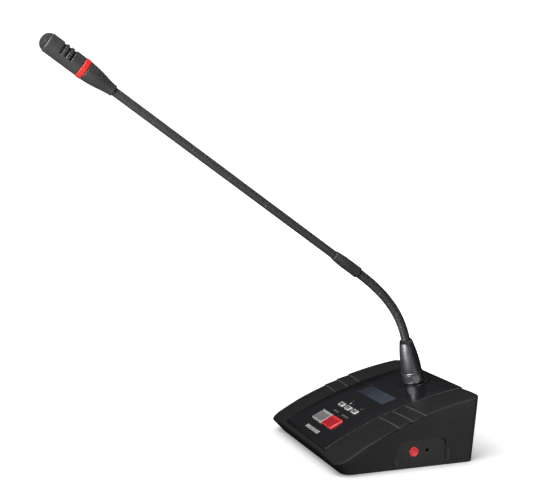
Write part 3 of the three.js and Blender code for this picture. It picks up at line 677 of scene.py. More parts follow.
def housing_outer():
    """The outside of the housing as one closed body: top, rounded rim, walls and underside."""
    rows = housing_rows()
    inner_edge = PANEL_HALF + 0.5

    def slant(t):
        return STEP_SLANT * max(0.0, 1 - abs(t - 1.5) / SLANT_SPAN) ** 0.5

    grid = []
    for t in rows:
        y, half = outline_row(TOP, SIDE_DROP, t)
        row_y = y
        row = []
        reach = half - inner_edge
        xs = [0.0, 20.0, *(inner_edge + reach * share for share in (0.0, 0.25, 0.5, 0.75, 1.0))]
        for x in xs:
            shift = slant(t) * min(fraction(x), 1)
            z = strip_height(x, y + shift, row_y)
            row.append((x, y + shift, z))
        grid.append(row)

    points, index = [], {}

    def vertex(key, point):
        index[key] = len(points)
        points.append(point)

    count = len(grid[0])
    for r, row in enumerate(grid):
        for c in range(-(count - 1), count):
            x, y, z = row[abs(c)]
            vertex(("top", r, c), (math.copysign(x, c) if c else 0.0, y, z))
    faces, painted_light = [], set()
    # The faces of the step risers take the second, lighter material: a painted highlight along each step.
    risers = [r for r in range(len(rows) - 1) if is_riser(rows[r], rows[r + 1])]
    for r in range(len(grid) - 1):
        for c in range(-(count - 1), count - 1):
            if r in risers:
                painted_light.add(len(faces))
            corners = ((r, c), (r, c + 1), (r + 1, c + 1), (r + 1, c))
            faces.append(tuple(index["top", *corner] for corner in corners))
    # The rim runs round the boundary of that grid; each place on it drops down the wall.
    last_row, last_column = len(grid) - 1, count - 1
    boundary = [(0, c) for c in range(-last_column, last_column)]
    boundary += [(r, last_column) for r in range(last_row)]
    boundary += [(last_row, c) for c in range(last_column, -last_column, -1)]
    boundary += [(r, -last_column) for r in range(last_row, 0, -1)]

    def outward(r, c):
        t = rows[r]
        if abs(c) == last_column and 0 < r < last_row:
            if t < 1:
                angle = t * math.pi / 2
                return math.copysign(math.sin(angle), c), -math.cos(angle)
            if t > 2:
                angle = (3 - t) * math.pi / 2
                return math.copysign(math.sin(angle), c), math.cos(angle)
            return math.copysign(1.0, c), 0.0
        return 0.0, -1.0 if r == 0 else 1.0

    for r, c in boundary:
        x, y, z = points[index["top", r, c]]
        nx, ny = outward(r, c)
        foot_y, foot_half = outline_row(FOOT, 0, rows[r])
        plain_y = outline_row(TOP, SIDE_DROP, rows[r])[0]
        share = abs(x) / max(grid[r][-1][0], 1e-6)
        foot_x = math.copysign(foot_half * share, x) if x else 0.0
        step = step_height(plain_y, min(fraction(x), 1)) if 0 < r < last_row else 0.0
        plain = Vector((x + nx * SIDE_DROP, plain_y + ny * SIDE_DROP, z - step - SIDE_DROP - 0.5))
        for k in range(1, TURN_STEPS + 1):
            angle = k / TURN_STEPS * math.pi / 2
            out, down = SIDE_DROP * math.sin(angle), SIDE_DROP * (1 - math.cos(angle))
            vertex(("rim", r, c, k), (x + nx * out, y + ny * out, z - down))
        foot = Vector((foot_x, foot_y, FOOT_Z))
        for k in range(1, WALL_STEPS + 1):
            vertex(("wall", r, c, k), tuple(plain.lerp(foot, (k - 1) / (WALL_STEPS - 1))))

    def column_of(r, c):
        keys = [("top", r, c)]
        keys += [("rim", r, c, k) for k in range(1, TURN_STEPS + 1)]
        keys += [("wall", r, c, k) for k in range(1, WALL_STEPS + 1)]
        return [index[key] for key in keys]

    for a, b in zip(boundary, boundary[1:] + boundary[:1]):
        one, two = column_of(*a), column_of(*b)
        for k in range(len(one) - 1):
            # Where a riser runs over the rim its faces are painted lighter too: a painted glint at the
            # step's outer end.
            if a[0] != b[0] and min(a[0], b[0]) in risers and k < TURN_STEPS:
                painted_light.add(len(faces))
            faces.append((one[k], one[k + 1], two[k + 1], two[k]))
    faces.append(tuple(index["wall", r, c, WALL_STEPS] for r, c in reversed(boundary)))
    mesh = raw_mesh("housing_body", points, faces)
    mesh.materials.append(FINISHES["satin_black_plastic"])
    mesh.materials.append(FINISHES["satin_black_painted_highlight"])
    for i in painted_light:
        mesh.polygons[i].material_index = 1
    return as_object("housing_body", mesh)


def is_riser(t_front, t_rear):
    y_front, y_rear = outline_row(TOP, 0, t_front)[0], outline_row(TOP, 0, t_rear)[0]
    return any(y_front < line < y_rear for line in STEP_LINES) and y_rear - y_front < 4 * STEP_EDGE


def slab(name, half, front, rear, low, high):
    """A slab that follows the crest, from low to high above it."""
    rows = 36
    rings = []
    for i in range(rows + 1):
        y = front + (rear - front) * i / rows
        bottom, top = arc_height(CREST, y) + low, arc_height(CREST, y) + high
        rings.append([(-half, y, bottom), (half, y, bottom), (half, y, top), (-half, y, top)])
    return stacked(name, rings)


def inner_body():
    """The hollow inside the housing."""
    rings = []
    drop = 3.2
    rows = [i / 4 for i in range(4)] + [1 + i / 14 for i in range(15)] + [2 + i / 4 for i in range(1, 5)]
    for t in rows:
        top_y, top_half = outline_row(TOP, WALL, t)
        foot_y, foot_half = outline_row(FOOT, WALL, t)
        inner = arc_height(CREST, top_y) - PANEL_PROUD - drop
        outer = inner + (arc_height(EDGE, top_y) - drop - inner) * fraction(top_half)
        shoulder = min(PANEL_HALF, top_half)
        right = [(foot_half, foot_y, -1), (top_half, top_y, outer), (shoulder, top_y, inner)]
        left = [(-x, y, z) for x, y, z in reversed(right)]
        rings.append([left[-1], *right, *left[:-1]])
    return stacked("hollow", rings)


def rod(name, radius, low, high, matrix, sides=48):
    return lathe(name, [(radius, low), (radius, high)], matrix, sides)


def prism(name, outline, low, high, matrix):
    return stacked(name, [[(x, y, low) for x, y in outline], [(x, y, high) for x, y in outline]], matrix)


def build_housing():
    body = carve(housing_outer(), [inner_body()])
    behind = rounded_box(POCKET["front"] - 3, 4.5, POCKET["rear"] + 3, POCKET["top"] + 3, 1.0, 2)
    backing = prism("backing", behind, POCKET["x"] - 2.8, POCKET["x"] + 1.5, TO_X)
    bosses = [rod("boss", 4.2, 4.5, arc_height(CREST, y) - 6, place(x, y, 0), 24) for x, y in SCREW_SPOTS]
    body = carve(body, [backing, *bosses], "UNION")
    recess = PANEL_THICK + 0.2
    cutters = [slab("recess", PANEL_HALF + 0.3, PANEL_FRONT - 0.3, PANEL_REAR + 5, -recess, 6)]
    holes = [(WINDOW_HOLE, seat(WINDOW_Y)), (KEY_HOLE, seat(KEY_Y))]
    holes += [(MENU_HOLE, seat(MENU_Y) @ place(column * MENU_PITCH, 0, 0)) for column in (-1, 0, 1)]
    for (half, deep), spot in holes:
        cutters.append(prism("hole", rounded_box(-half, -deep, half, deep, 0.8), -10, 10, spot))
    cutters.append(rod("hole", THROAT_HOLE, -8, 5, SOCKET))
    cutters.append(rod("hole", 2.5, -8, 5, SOCKET @ place(0, LATCH_Y, 0), 24))
    front, rear, top, corner = (POCKET[key] for key in ("front", "rear", "top", "corner"))
    arch = [(front, -5, 0), (rear, -5, 0), (rear, top, corner), (front, top, corner)]
    cutters.append(prism("pocket", fillet(arch, 0, 10, closed=True), POCKET["x"], 92, TO_X))
    cutters.append(rod("hole", BUTTON_RADIUS + 0.4, 70, 92, place(0, BUTTON_Y, BUTTON_Z) @ TO_X))
    cutters.append(rod("hole", 1.85, 70, 92, place(0, JACK_Y, JACK_Z) @ TO_X, 32))
    for x in (-LINK_X, LINK_X):
        cutters.append(rod("hole", 7.8, 50, 90, place(x, 0, LINK_Z) @ TO_Y))
    cutters += [rod("hole", 1.8, 0, 14, place(x, y, 0), 20) for x, y in SCREW_SPOTS]
    body = carve(body, cutters, sharp=32)
    body.name = "housing_shell"
    finish_as(body, None, "base", ["housing"])


# ---------------------------------------------------------------- control panel and marks
def on_crest(x, y, z):
    """Lays a flat point on the crest: y runs along the surface, z stands out from it."""
    pitch = math.radians(arc_pitch(CREST, y))
    return x, y - math.sin(pitch) * z, arc_height(CREST, y) + math.cos(pitch) * z


def build_panel():
    corners = [(-PANEL_HALF, PANEL_FRONT, 1.5), (PANEL_HALF, PANEL_FRONT, 1.5)]
    corners += [(PANEL_HALF, PANEL_REAR, 1.0), (-PANEL_HALF, PANEL_REAR, 1.0)]
    outlines = [fillet(corners, 1, 5, closed=True)]
    half, deep = WINDOW_WIDE / 2 + 0.25, WINDOW_DEEP / 2 + 0.25
    outlines.append(rounded_box(-half, WINDOW_Y - deep, half, WINDOW_Y + deep, 0.9))
    half, deep = KEY_WIDE + 0.4, KEY_DEEP / 2 + 0.3
    along = math.cos(math.radians(arc_pitch(CREST, KEY_Y)))
    outlines.append(rounded_box(-half, KEY_Y - deep * along, half, KEY_Y + deep * along, 0.9))
    along = math.cos(math.radians(arc_pitch(CREST, MENU_Y)))
    half, deep = MENU_HOLE[0], MENU_HOLE[1] * along
    for x in (-MENU_PITCH, 0, MENU_PITCH):
        outlines.append(rounded_box(x - half, MENU_Y - deep, x + half, MENU_Y + deep, 0.7))
    outlines.append(collar_outline(0.3, SOCKET_Y, 0.982))
    slices = [PANEL_FRONT + 3.5 * i for i in range(1, 40)]
    panel = sheet("panel_gloss", outlines, -PANEL_THICK, 0, 0.3, None, slices, on_crest, 30)
    finish_as(panel, "gloss_black_plastic", "base", ["control_panel"])


def collar_outline(grow, y0=0.0, squeeze=1.0):
    """A disc with a smaller lobe behind it."""
    points = []
    sides = 96
    for i in range(sides):
        angle = 2 * math.pi * i / sides
        ux, uy = math.cos(angle), math.sin(angle)
        reach = COLLAR_RADIUS + grow
        inside = (LOBE_RADIUS + grow) ** 2 - (LOBE_Y * ux) ** 2
        if inside > 0 and uy > 0:
            reach = max(reach, LOBE_Y * uy + math.sqrt(inside))
        points.append((reach * ux, y0 + reach * uy * squeeze))
    return points


def printed(name, shapes, slot, bend, body="base", matrix=None):
    """Thin ink lying on a surface. bend shapes it to the surface, or matrix places it there."""
    inks = [sheet(name, [shape], -0.02, 0.04, 0.008, matrix, (), bend) for shape in shapes]
    finish_as(merge(name, inks), slot, body)


def bar(x, y, wide, deep, corner=0.15):
    return rounded_box(x - wide / 2, y - deep / 2, x + wide / 2, y + deep / 2, corner, 2)


def build_marks():
    arrow = fillet([(-8.7, -17.0), (-5.3, -17.0), (-7.0, -14.4)], 0.15, 2, True)
    printed("print_arrow", [arrow], "print_light", on_crest)
    dots = [circle(0.7, x, y, 16) for x, y in ((-9.4, -12.4), (-1.2, -16.0))]
    dots += [bar(16.2, -16.2, 2.6, 1.0), bar(17.4, -14.6, 1.2, 1.0)]
    printed("print_dots", dots, "print_dim", on_crest)
    labels = [bar(-11.4 + i * 2.2, -31.5, 1.5, 2.0) for i in range(5)]
    labels += [bar(8.0 + i * 2.2, -31.5, 1.5, 2.0) for i in range(6)]
    printed("print_labels", labels, "print_dim", on_crest)
    levels = [bar(-12.9 + i * 4.3, -58.6, 2.7, 3.5, 0.3) for i in range(7)]
    printed("print_levels", levels, "print_light", on_crest)


def build_window():
    half, deep = WINDOW_WIDE / 2, WINDOW_DEEP / 2
    outline = rounded_box(-half, -deep, half, deep, 0.8)
    pane = sheet("display_pane", [outline], -1.4, -0.12, 0.12, seat(WINDOW_Y))
    finish_as(pane, "window_plastic", "base", ["display_window"])


# ---------------------------------------------------------------- keys
def key_cap(name, wide, deep, proud, flange_wide, flange_deep, corner, rim, dish, matrix):
    """A cap with a rounded rim and a dished top, over the flange that keeps it in."""

    def ring(half_x, half_y, radius, z):
        return [(x, y, z) for x, y in rounded_box(-half_x, -half_y, half_x, half_y, radius, 5)]

    x, y = wide / 2, deep / 2
    rings = [ring(flange_wide / 2, flange_deep / 2, corner, z) for z in (-5, -4)]
    rings.append(ring(x, y, corner, -4))
    for k in range(6):
        angle = k / 5 * math.pi / 2
        inset = rim * (1 - math.cos(angle))
        z = proud - rim + rim * math.sin(angle)
        rings.append(ring(x - inset, y - inset, max(corner - inset, 0.2), z))
    flat = min(x, y) - rim
    for k in range(1, 10):
        inset = rim + flat * 0.96 * (k / 9) ** 1.2
        share = (inset - rim) / flat
        z = proud - dish * (1 - (1 - min(share / 0.55, 1)) ** 2)
        rings.append(ring(x - inset, y - inset, max(corner - rim, 0.15) * (1 - share) + 0.02, z))
    return stacked(name, rings, matrix)


def build_keys():
    gap = 0.3
    for name, body, side, slot in (
        ("talk_cap", "talk_key", -1, "grey_key_plastic"),
        ("priority_cap", "priority_key", 1, "red_key_plastic"),
    ):
        spot = seat(KEY_Y) @ place(side * (KEY_WIDE + gap) / 2, 0, 0)
        flange = KEY_DEEP + 3.6
        cap = key_cap(name, KEY_WIDE, KEY_DEEP, KEY_PROUD, KEY_WIDE, flange, 0.9, 0.55, 0.35, spot)
        finish_as(cap, slot, body, [body])
    for column, side in ((-1, "left"), (0, "middle"), (1, "right")):
        spot = seat(MENU_Y) @ place(column * MENU_PITCH, 0, 0)
        wide, deep = MENU_WIDE + 2.4, MENU_DEEP + 2.4
        name, body = f"menu_cap_{side}", f"menu_key_{side}"
        cap = key_cap(name, MENU_WIDE, MENU_DEEP, MENU_PROUD, wide, deep, 0.8, 0.35, 0.12, spot)
        finish_as(cap, "silver_key_plastic", body, [body])
        lines = [bar(x, 0, 1.0, 2.4, 0.2) for x in (-1.7, 0, 1.7)]
        on_cap = spot @ place(0, 0, MENU_PROUD - 0.1)
        printed(f"print_menu_{side}", lines, "print_dark", None, body, on_cap)


def build_side():
    x = POCKET["x"]
    profile = [(0, x - 5.8, 0), (2.5, x - 5.8), (2.5, x - 4.4), (6, x - 4.4), (6, x - 3.4)]
    profile += [(BUTTON_RADIUS, x - 3.4, 0.1), (BUTTON_RADIUS, x + 0.9, 0.5), (2.9, x + 0.85, 0.2)]
    profile += [(2.6, x + 0.35, 0.25), (1.5, x + 0.3, 0.3), (0, x + 0.55, 0)]
    cap = lathe("side_cap", fillet(profile, 0.15, 4), place(0, BUTTON_Y, BUTTON_Z) @ TO_X, 64)
    finish_as(cap, "red_button_plastic", "side_button", ["side_button"])
    block = rounded_box(JACK_Y - 3.5, 9.9, JACK_Y + 3.5, JACK_Z + 3.5, 0.4, 2)
    body = prism("jack_body", block, 60, x - 5.2, TO_X)
    snout = fillet([(3.0, x - 5), (3.0, x - 3.0), (1.9, x - 3.0), (1.9, 62), (3.0, 62)], 0.1, 3, True)
    snout = lathe("snout", snout, place(0, JACK_Y, JACK_Z) @ TO_X, 40, loop=True)
    bore = rod("bore", 2.4, 61, 90, place(0, JACK_Y, JACK_Z) @ TO_X, 32)
    body = carve(body, [bore])
    socket = merge("jack_socket", [body, snout])
    finish_as(socket, "black_plastic", "base", ["headphone_jack"])


# ---------------------------------------------------------------- rear sockets and foot
def build_rear():
    for x, name in ((-LINK_X, "link_socket_in"), (LINK_X, "link_socket_out")):
        spot = place(x, 0, LINK_Z) @ TO_Y
        rim, well = LINK_FACE + 0.3, LINK_FACE - 9.6
        ring = [(5.9, well), (5.9, rim - 1), (6.3, rim), (7.5, rim), (7.5, 56), (0.01, 56), (0.01, well)]
        shell = lathe("ring", fillet(ring, 0.18, 3, True), spot, 56, loop=True)
        pins = []
        for k in range(6):
            angle = math.radians(60 * k + 30)
            at = spot @ place(3.3 * math.cos(angle), 3.3 * math.sin(angle), 0)
            foot, tip = LINK_FACE - 9.4, LINK_FACE - 4
            pin = [(0, foot, 0), (0.5, foot), (0.5, tip - 0.2, 0.3), (0, tip, 0)]
            pins.append(lathe("pin", fillet(pin, 0.1, 3), at, 12))
        block = prism("block", rounded_box(-8.5, -8, 8.5, 10.1, 0.6, 3), 46, 58, spot)
        socket = merge(f"{name}_shell", [shell, block])
        finish_as(socket, "black_plastic", "base", [name])
        contacts = merge(f"{name}_pins", pins)
        finish_as(contacts, "contact_brass", "base")


def build_foot():
    plate = [rounded_box(-74.8, -57.8, 74.8, 67.4, 6.5)]
    pad = [rounded_box(-73.4, -56.4, 73.4, 66, 6.5)]
    plate += [circle(1.9, x, y, 24) for x, y in SCREW_SPOTS]
    pad += [circle(3.6, x, y, 32) for x, y in SCREW_SPOTS]
    thing = sheet("foot_plate", plate, 1.3, 4.2, 0.25)
    posts = [rod("post", 3, 4.2, 8, place(x, y, 0), 16) for x, y in POST_SPOTS]
    finish_as(merge("foot_plate", [thing, *posts]), "steel", "base", ["base_plate"])
    finish_as(sheet("foot_pad", pad, 0, 1.15, 0.3), "rubber_black", "base", ["non_slip_pad"])


# ---------------------------------------------------------------- microphone socket and plug
def build_socket():
    outlines = [collar_outline(0), circle(SOCKET_BORE), circle(2.2, 0, LATCH_Y, 32)]
    collar = sheet("socket_collar", outlines, -0.5, 1.0, 0.3, SOCKET)
    throat = tube_profile(THROAT_RADIUS, SOCKET_BORE, -22, -0.45, 0.1)
    throat = lathe("throat", throat, SOCKET, 64, loop=True)
    finish_as(merge("socket_collar", [collar, throat]), "gloss_black_ring", "base", ["socket_flange"])
    pin = fillet([(0, -8, 0), (1.9, -8), (1.9, 0.5, 0.4), (0, 0.62, 0)], 0.1, 4)
    latch = lathe("latch_button", pin, SOCKET @ place(0, LATCH_Y, 0), 32)
    tail = prism("tail", rounded_box(-1.5, LATCH_Y + 1.6, 1.5, LATCH_Y + 2.5, 0.2, 2), -8, -6.5, SOCKET)
    finish_as(merge("latch_button", [latch, tail]), "black_plastic", "socket_latch", ["socket_latch"])


def barrel_radius(along):
    return BARREL_NARROW + (BARREL_WIDE - BARREL_NARROW) * (1 - along**BARREL_POWER)


def build_connector():
    def outer(low, high, steps):
        pts = []
        for i in range(steps + 1):
            z = low + (high - low) * i / steps
            pts.append((barrel_radius((z - BARREL_FOOT) / (BARREL_TOP - BARREL_FOOT)), z, 0))
        return pts

    shell = [(7.2, 5.4), (9.25, 5.4), (9.25, BARREL_FOOT - 0.1, 0.05), (9.6, BARREL_FOOT, 0.1)]
    shell += outer(BARREL_FOOT + 0.35, BUSH_LOW - 0.12, 22)
    shell += [(6.3, BUSH_LOW, 0.05), (5.7, BUSH_LOW, 0.05), (5.7, 36), (7.2, 35)]
    barrel = lathe("plug_barrel", fillet(shell, 0.12, 3, True), SOCKET, 96, loop=True, sharp=40)
    finish_as(barrel, "gunmetal", "mic_plug", ["connector_barrel"])

    bush = [(4.75, 37.5), (5.45, 37.5), (5.45, BUSH_LOW + 0.15), (6.45, BUSH_LOW + 0.15, 0.1)]
    bush += outer(BUSH_LOW + 0.35, BARREL_TOP - 0.5, 5)
    bush += [(5.7, BARREL_TOP + 0.25, 0.5), (4.75, BARREL_TOP + 0.3, 0.2)]
    grommet = lathe("plug_bush", fillet(bush, 0.15, 3, True), SOCKET, 64, loop=True)
    finish_as(grommet, "rubber_black", "mic_plug", ["strain_bush"])

    def fluted(angle, radius, z):
        if radius > 10.3 and 3.2 < z < 10.3:
            return radius - 0.14 * (0.5 + 0.5 * math.cos(48 * angle)) ** 2
        return radius

    ring = [(9.65, 1.5), (10.2, 1.5, 0.2), (10.5, 2.2, 0.3), (10.5, 2.9, 0.05), (10.28, 3.05, 0.05)]
    ring += [(10.5, 3.3, 0)] + [(10.5, 3.6 + i * 1.05, 0) for i in range(7)]
    ring += [(10.28, 10.45, 0.05), (10.5, 10.7, 0.05), (10.5, 11.3, 0.3), (10.15, 12.0, 0.2), (9.65, 12.0)]
    ring = lathe("plug_ring", fillet(ring, 0.1, 2, True), SOCKET, 384, loop=True, shape=fluted, sharp=50)
    finish_as(ring, "gunmetal", "connector_ring", ["connector_ring"])

    skirt = [(0, 1.4, 0), (8.15, 1.4), (8.15, -15), (9.35, -15, 0.3), (9.35, 5, 0.1), (0, 5, 0)]
    insert = lathe("plug_shell", fillet(skirt, 0.15, 3), SOCKET, 64)
    finish_as(insert, "black_metal", "mic_plug", ["plug_insert"])
    pins = []
    for k in range(3):
        angle = k * 2 * math.pi / 3
        pin = fillet([(0, -13.2, 0), (1.2, -13, 0.6), (1.2, 1.6), (0, 1.6, 0)], 0.1, 4)
        pins.append(lathe("pin", pin, SOCKET @ place(4 * math.cos(angle), 4 * math.sin(angle), 0), 20))
    finish_as(merge("plug_contacts", pins), "contact_brass", "mic_plug")


# ---------------------------------------------------------------- gooseneck
def axis_point(matrix, z):
    return matrix @ Vector((0, 0, z * MM)) / MM


def neck_line():
    """Points of the centre line from inside the plug to the sleeve, about 0.2 mm apart."""
    p0, p1 = axis_point(SOCKET, BARREL_TOP), axis_point(SOCKET, BARREL_TOP + BEND_LOW)
    p2, p3 = axis_point(STEM, -BEND_HIGH), axis_point(STEM, 0)
    line = [axis_point(SOCKET, 38 + i * 0.2) for i in range(28)]
    steps = 440
    for i in range(steps + 1):
        t = i / steps
        line.append(p0 * (1 - t) ** 3 + p1 * 3 * t * (1 - t) ** 2 + p2 * 3 * t * t * (1 - t) + p3 * t**3)
    line += [axis_point(STEM, 0.2 * i) for i in range(1, 41)]
    return line


def lengths(line):
    total, out = 0.0, [0.0]
    for a, b in zip(line, line[1:]):
        total += (b - a).length
        out.append(total)
    return out


class Path:
    """A line that can be asked for its point and its heading at a distance along it."""

    def __init__(self, line):
        self.line, self.at = line, lengths(line)
        self.length = self.at[-1]

    def point(self, s):
        low, high = 0, len(self.at) - 1
        while high - low > 1:
            middle = (low + high) // 2
            if self.at[middle] <= s:
                low = middle
            else:
                high = middle
        share = (s - self.at[low]) / (self.at[high] - self.at[low])
        return self.line[low].lerp(self.line[high], share)

    def heading(self, s):
        low, high = max(s - 0.8, 0), min(s + 0.8, self.length)
        return (self.point(high) - self.point(low)).normalized()

    def nearest(self, target):
        return min(zip(self.at, self.line), key=lambda pair: (pair[1] - target).length)[0]


def ribbed_skin(name, path, low, high, radius, pitch, depth, sides, per_turn):
    """A length of wound casing. Its ridge is a helix that goes on from one length to the next."""
    count = max(4, round((high - low) / pitch * per_turn))
    rings = []
    side = Vector((1, 0, 0))
    for i in range(count + 1):
        s = low + (high - low) * i / count
        centre, forward = path.point(s), path.heading(s)
        across = forward.cross(side).normalized()
        ring = []
        for k in range(sides):
            turn = k / sides
            angle = 2 * math.pi * turn
            phase = (s / pitch - turn) % 1.0
            ridge = 1 - (2 * abs(phase - 0.5)) ** 2.4
            r = radius - depth + depth * ridge
            spot = centre + (side * math.cos(angle) + across * math.sin(angle)) * r
            ring.append(tuple(spot))
        rings.append(ring)
    return stacked(name, rings, sharp=80)


def hinge_points(section):
    joints = [j for j in frame["joints"] if j["name"].startswith(section)]
    joints.sort(key=lambda j: (int(j["name"][-1]), "side" in j["name"]))
    return [(Vector(j["pos_m"]) / MM, j["parent"], j["child"]) for j in joints]


def build_neck(section, path, low, high, start, end, radius, pitch, depth, sides, per_turn):
    """The casing of one section, cut midway between hinges into one length for each hinge."""
    hinges = hinge_points(section)
    places = [path.nearest(point) for point, _, _ in hinges]
    cuts = [low] + [(a + b) / 2 for a, b in zip(places, places[1:])] + [high]
    for i, (_, parent, child) in enumerate(hinges):
        name = f"{section}_casing_{i + 1}"
        skin = ribbed_skin(name, path, cuts[i], cuts[i + 1], radius, pitch, depth, sides, per_turn)
        stands_for = [f"neck_{section}_{i + 1}"]
        if i == len(hinges) - 1:
            stands_for.append(f"neck_{section}_{i + 2}")
        finish_as(skin, "black_metal", None, stands_for)
        bend = [path.point(s) * MM for s in (max(cuts[i], start), min(cuts[i + 1], end))]
        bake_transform(skin)


def build_gooseneck():
    lower = Path(neck_line())
    mouth = lower.nearest(axis_point(SOCKET, BARREL_TOP + 0.6))
    sleeve_foot = lower.nearest(axis_point(STEM, -0.6))
    build_neck("lower", lower, 0.2, lower.length - 0.2, mouth, sleeve_foot, LOWER_RADIUS, *LOWER_RIB, 40, 7)
    upper_end = SLEEVE_LENGTH + UPPER_LENGTH
    upper = Path([axis_point(STEM, 24 + 0.25 * i) for i in range(int((upper_end + 6 - 24) / 0.25) + 1)])
    first = upper.nearest(axis_point(STEM, SLEEVE_LENGTH + 0.6))
    last = upper.nearest(axis_point(STEM, upper_end - 0.6))
    build_neck("upper", upper, 0.2, upper.length - 0.2, first, last, UPPER_RADIUS, *UPPER_RIB, 36, 5)
    sleeve = [(4.75, 0), (5.25, 0), (5.45, 0.3), (5.45, 18.5, 1.5)]
    sleeve += [(4.75, 29.6, 0.3), (4.3, SLEEVE_LENGTH), (4.3, 12), (4.75, 12)]
    shell = lathe("sleeve_shell", fillet(sleeve, 0.2, 5, True), STEM, 64, loop=True)
    finish_as(shell, "black_metal", "lower_link_6", ["joint_sleeve"])


# ---------------------------------------------------------------- head
def build_head():
    body = "upper_link_6"
    cone = [(4.3, 0), (5.0, 0.1), (5.15, 0.6), (5.4, 4.5, 2), (5.95, 8, 2)]
    cone += [(6.75, 12, 2), (7.5, 16, 2), (8.1, 20, 2), (8.55, 24, 2)]
    cone += [(HEAD_RADIUS, HEAD_CONE - 0.6, 0.3), (HEAD_RADIUS - 0.3, HEAD_CONE, 0.2)]
    cone += [(7.7, HEAD_CONE), (5.3, 12), (4.3, 9)]
    shell = lathe("cone_shell", fillet(cone, 0.2, 3, True), HEAD, 72, loop=True)
    finish_as(shell, "black_metal", body, ["tail_cone"])

    low, high = HEAD_CONE + 0.3, HEAD_RING - 0.3
    band = [(7.9, low), (9.0, low, 0.2), (9.3, low + 0.35, 0.3)]
    band += [(9.3, high - 0.35, 0.3), (9.0, high, 0.2), (7.9, high)]
    ring = lathe("ring_light", fillet(band, 0.15, 3, True), HEAD, 72, loop=True)
    finish_as(ring, "light_red", body, ["light_ring"])

    tube = [(8.1, HEAD_RING), (8.75, HEAD_RING, 0.15), (8.9, HEAD_RING + 0.3, 0.2)]
    tube += [(8.9, HEAD_RING + 0.3 + i * 2.5, 0) for i in range(1, 13)]
    tube += [(8.9, HEAD_FRONT - 0.7, 0.3), (8.45, HEAD_FRONT, 0.25), (8.1, HEAD_FRONT - 0.2, 0.1)]
    tube += [(8.1, HEAD_FRONT - 0.2 - i * 2.5, 0) for i in range(1, 13)]
    shell = lathe("grille_tube", fillet(tube, 0.15, 3, True), HEAD, 96, loop=True)
    slot_floor = HEAD_RADIUS * math.cos(math.radians(SLOT_REACH))
    slots = []
    for middle in SLOT_ROWS:
        cut = rounded_box(-12, middle - SLOT_WIDE / 2, 12, middle + SLOT_WIDE / 2, 0.3, 2)
        slots.append(prism("slot", cut, slot_floor, 14, HEAD @ UPRIGHT))
    shell = carve(shell, slots, sharp=32)
    shell.name = "grille_tube"
    finish_as(shell, "black_lacquer", body, ["head_tube"])

    # Woven dome: the threads stand out in a grid of small bumps.
    rows = 46
    profile = [(0.01, 61.3), (7.75, 61.3), (7.75, HEAD_FRONT - 0.9)]
    dome_foot, dome_tip = HEAD_FRONT - 0.6, HEAD_TIP + 0.2
    for i in range(rows):
        angle = i / rows * math.pi / 2
        z = dome_foot + (dome_tip - dome_foot) * math.sin(angle)
        profile.append((8.0 * math.cos(angle) ** 0.92, z))
    profile.append((0.001, dome_tip))

    def woven(angle, radius, z):
        if z < HEAD_FRONT - 0.7 or radius < 0.6:
            return radius
        across = radius * math.cos(angle) * 2 * math.pi / WEAVE
        along = radius * math.sin(angle) * 2 * math.pi / WEAVE
        return radius + 0.16 * math.sin(across) * math.sin(along)

    dome = lathe("mesh_dome", profile, HEAD, 144, shape=woven, sharp=60)

    def knit(angle, radius, z):
        if radius < 7.3:
            return radius
        return radius + 0.08 * math.sin(angle * 24) * math.sin(z * 2 * math.pi / 1.9)

    liner = [(7.1, 38.0)] + [(7.75, 38.2 + i * 0.33) for i in range(70)] + [(7.1, 61.2)]
    sock = lathe("mesh_liner", liner, HEAD, 160, loop=True, shape=knit, sharp=60)
    finish_as(merge("mesh_screen", [dome, sock], 60), "foam_grey", body, ["windscreen"])


# ---------------------------------------------------------------- build
build_housing()
build_panel()
build_marks()
build_window()
build_keys()
build_side()
build_rear()
build_foot()
build_socket()
build_connector()
build_gooseneck()
build_head()

# The CAD nodes that stay in view take the same finishes.
slots = {part["node"]: part["material_slot"] for part in frame["record"]["subparts"]}
for name, node in frame["nodes"].items():
    node.data.materials.clear()
    node.data.materials.append(FINISHES[slots[name]])


# ---------------------------------------------------------------- stage, light and camera
CAMERA_PLACE = (0.88817, -0.41921, 0.29523)
CAMERA_BEARING, CAMERA_RISE, CAMERA_ROLL = -19.457, 5.881, 0.158  # degrees
CAMERA_LENS = 69.95
BASE_MIDDLE = Vector((0, 0, 0.04))
NECK_MIDDLE = Vector((0, -0.05, 0.2))

FLOOR_SIZE = 6000  # millimetres from the middle to a side
FLOOR_NEAR, FLOOR_FAR = 0.58, 1.4  # glow of the floor beside the base and away from it
FLOOR_RING = (0.16, 0.42)  # distances from the base between those two, in metres
MIRRORED_LOW, MIRRORED_HIGH = 0.03, 0.8  # what glossy surfaces see of the floor, behind and in front
MIRRORED_SPAN = (0.1, 0.45)
FLOOR_FRONT = (0.45, -0.9, 0)  # the direction in which mirrors see the floor grow brighter
CONTACT_REACH, CONTACT_SHADE = 0.03, 0.3  # metres around the base where the floor darkens, and how far
DOME_LOW, DOME_HIGH, DOME_SPAN = 0.02, 0.35, (0.3, 0.95)
BACKDROP = 1.3
WHITE = (1, 1, 1, 1)


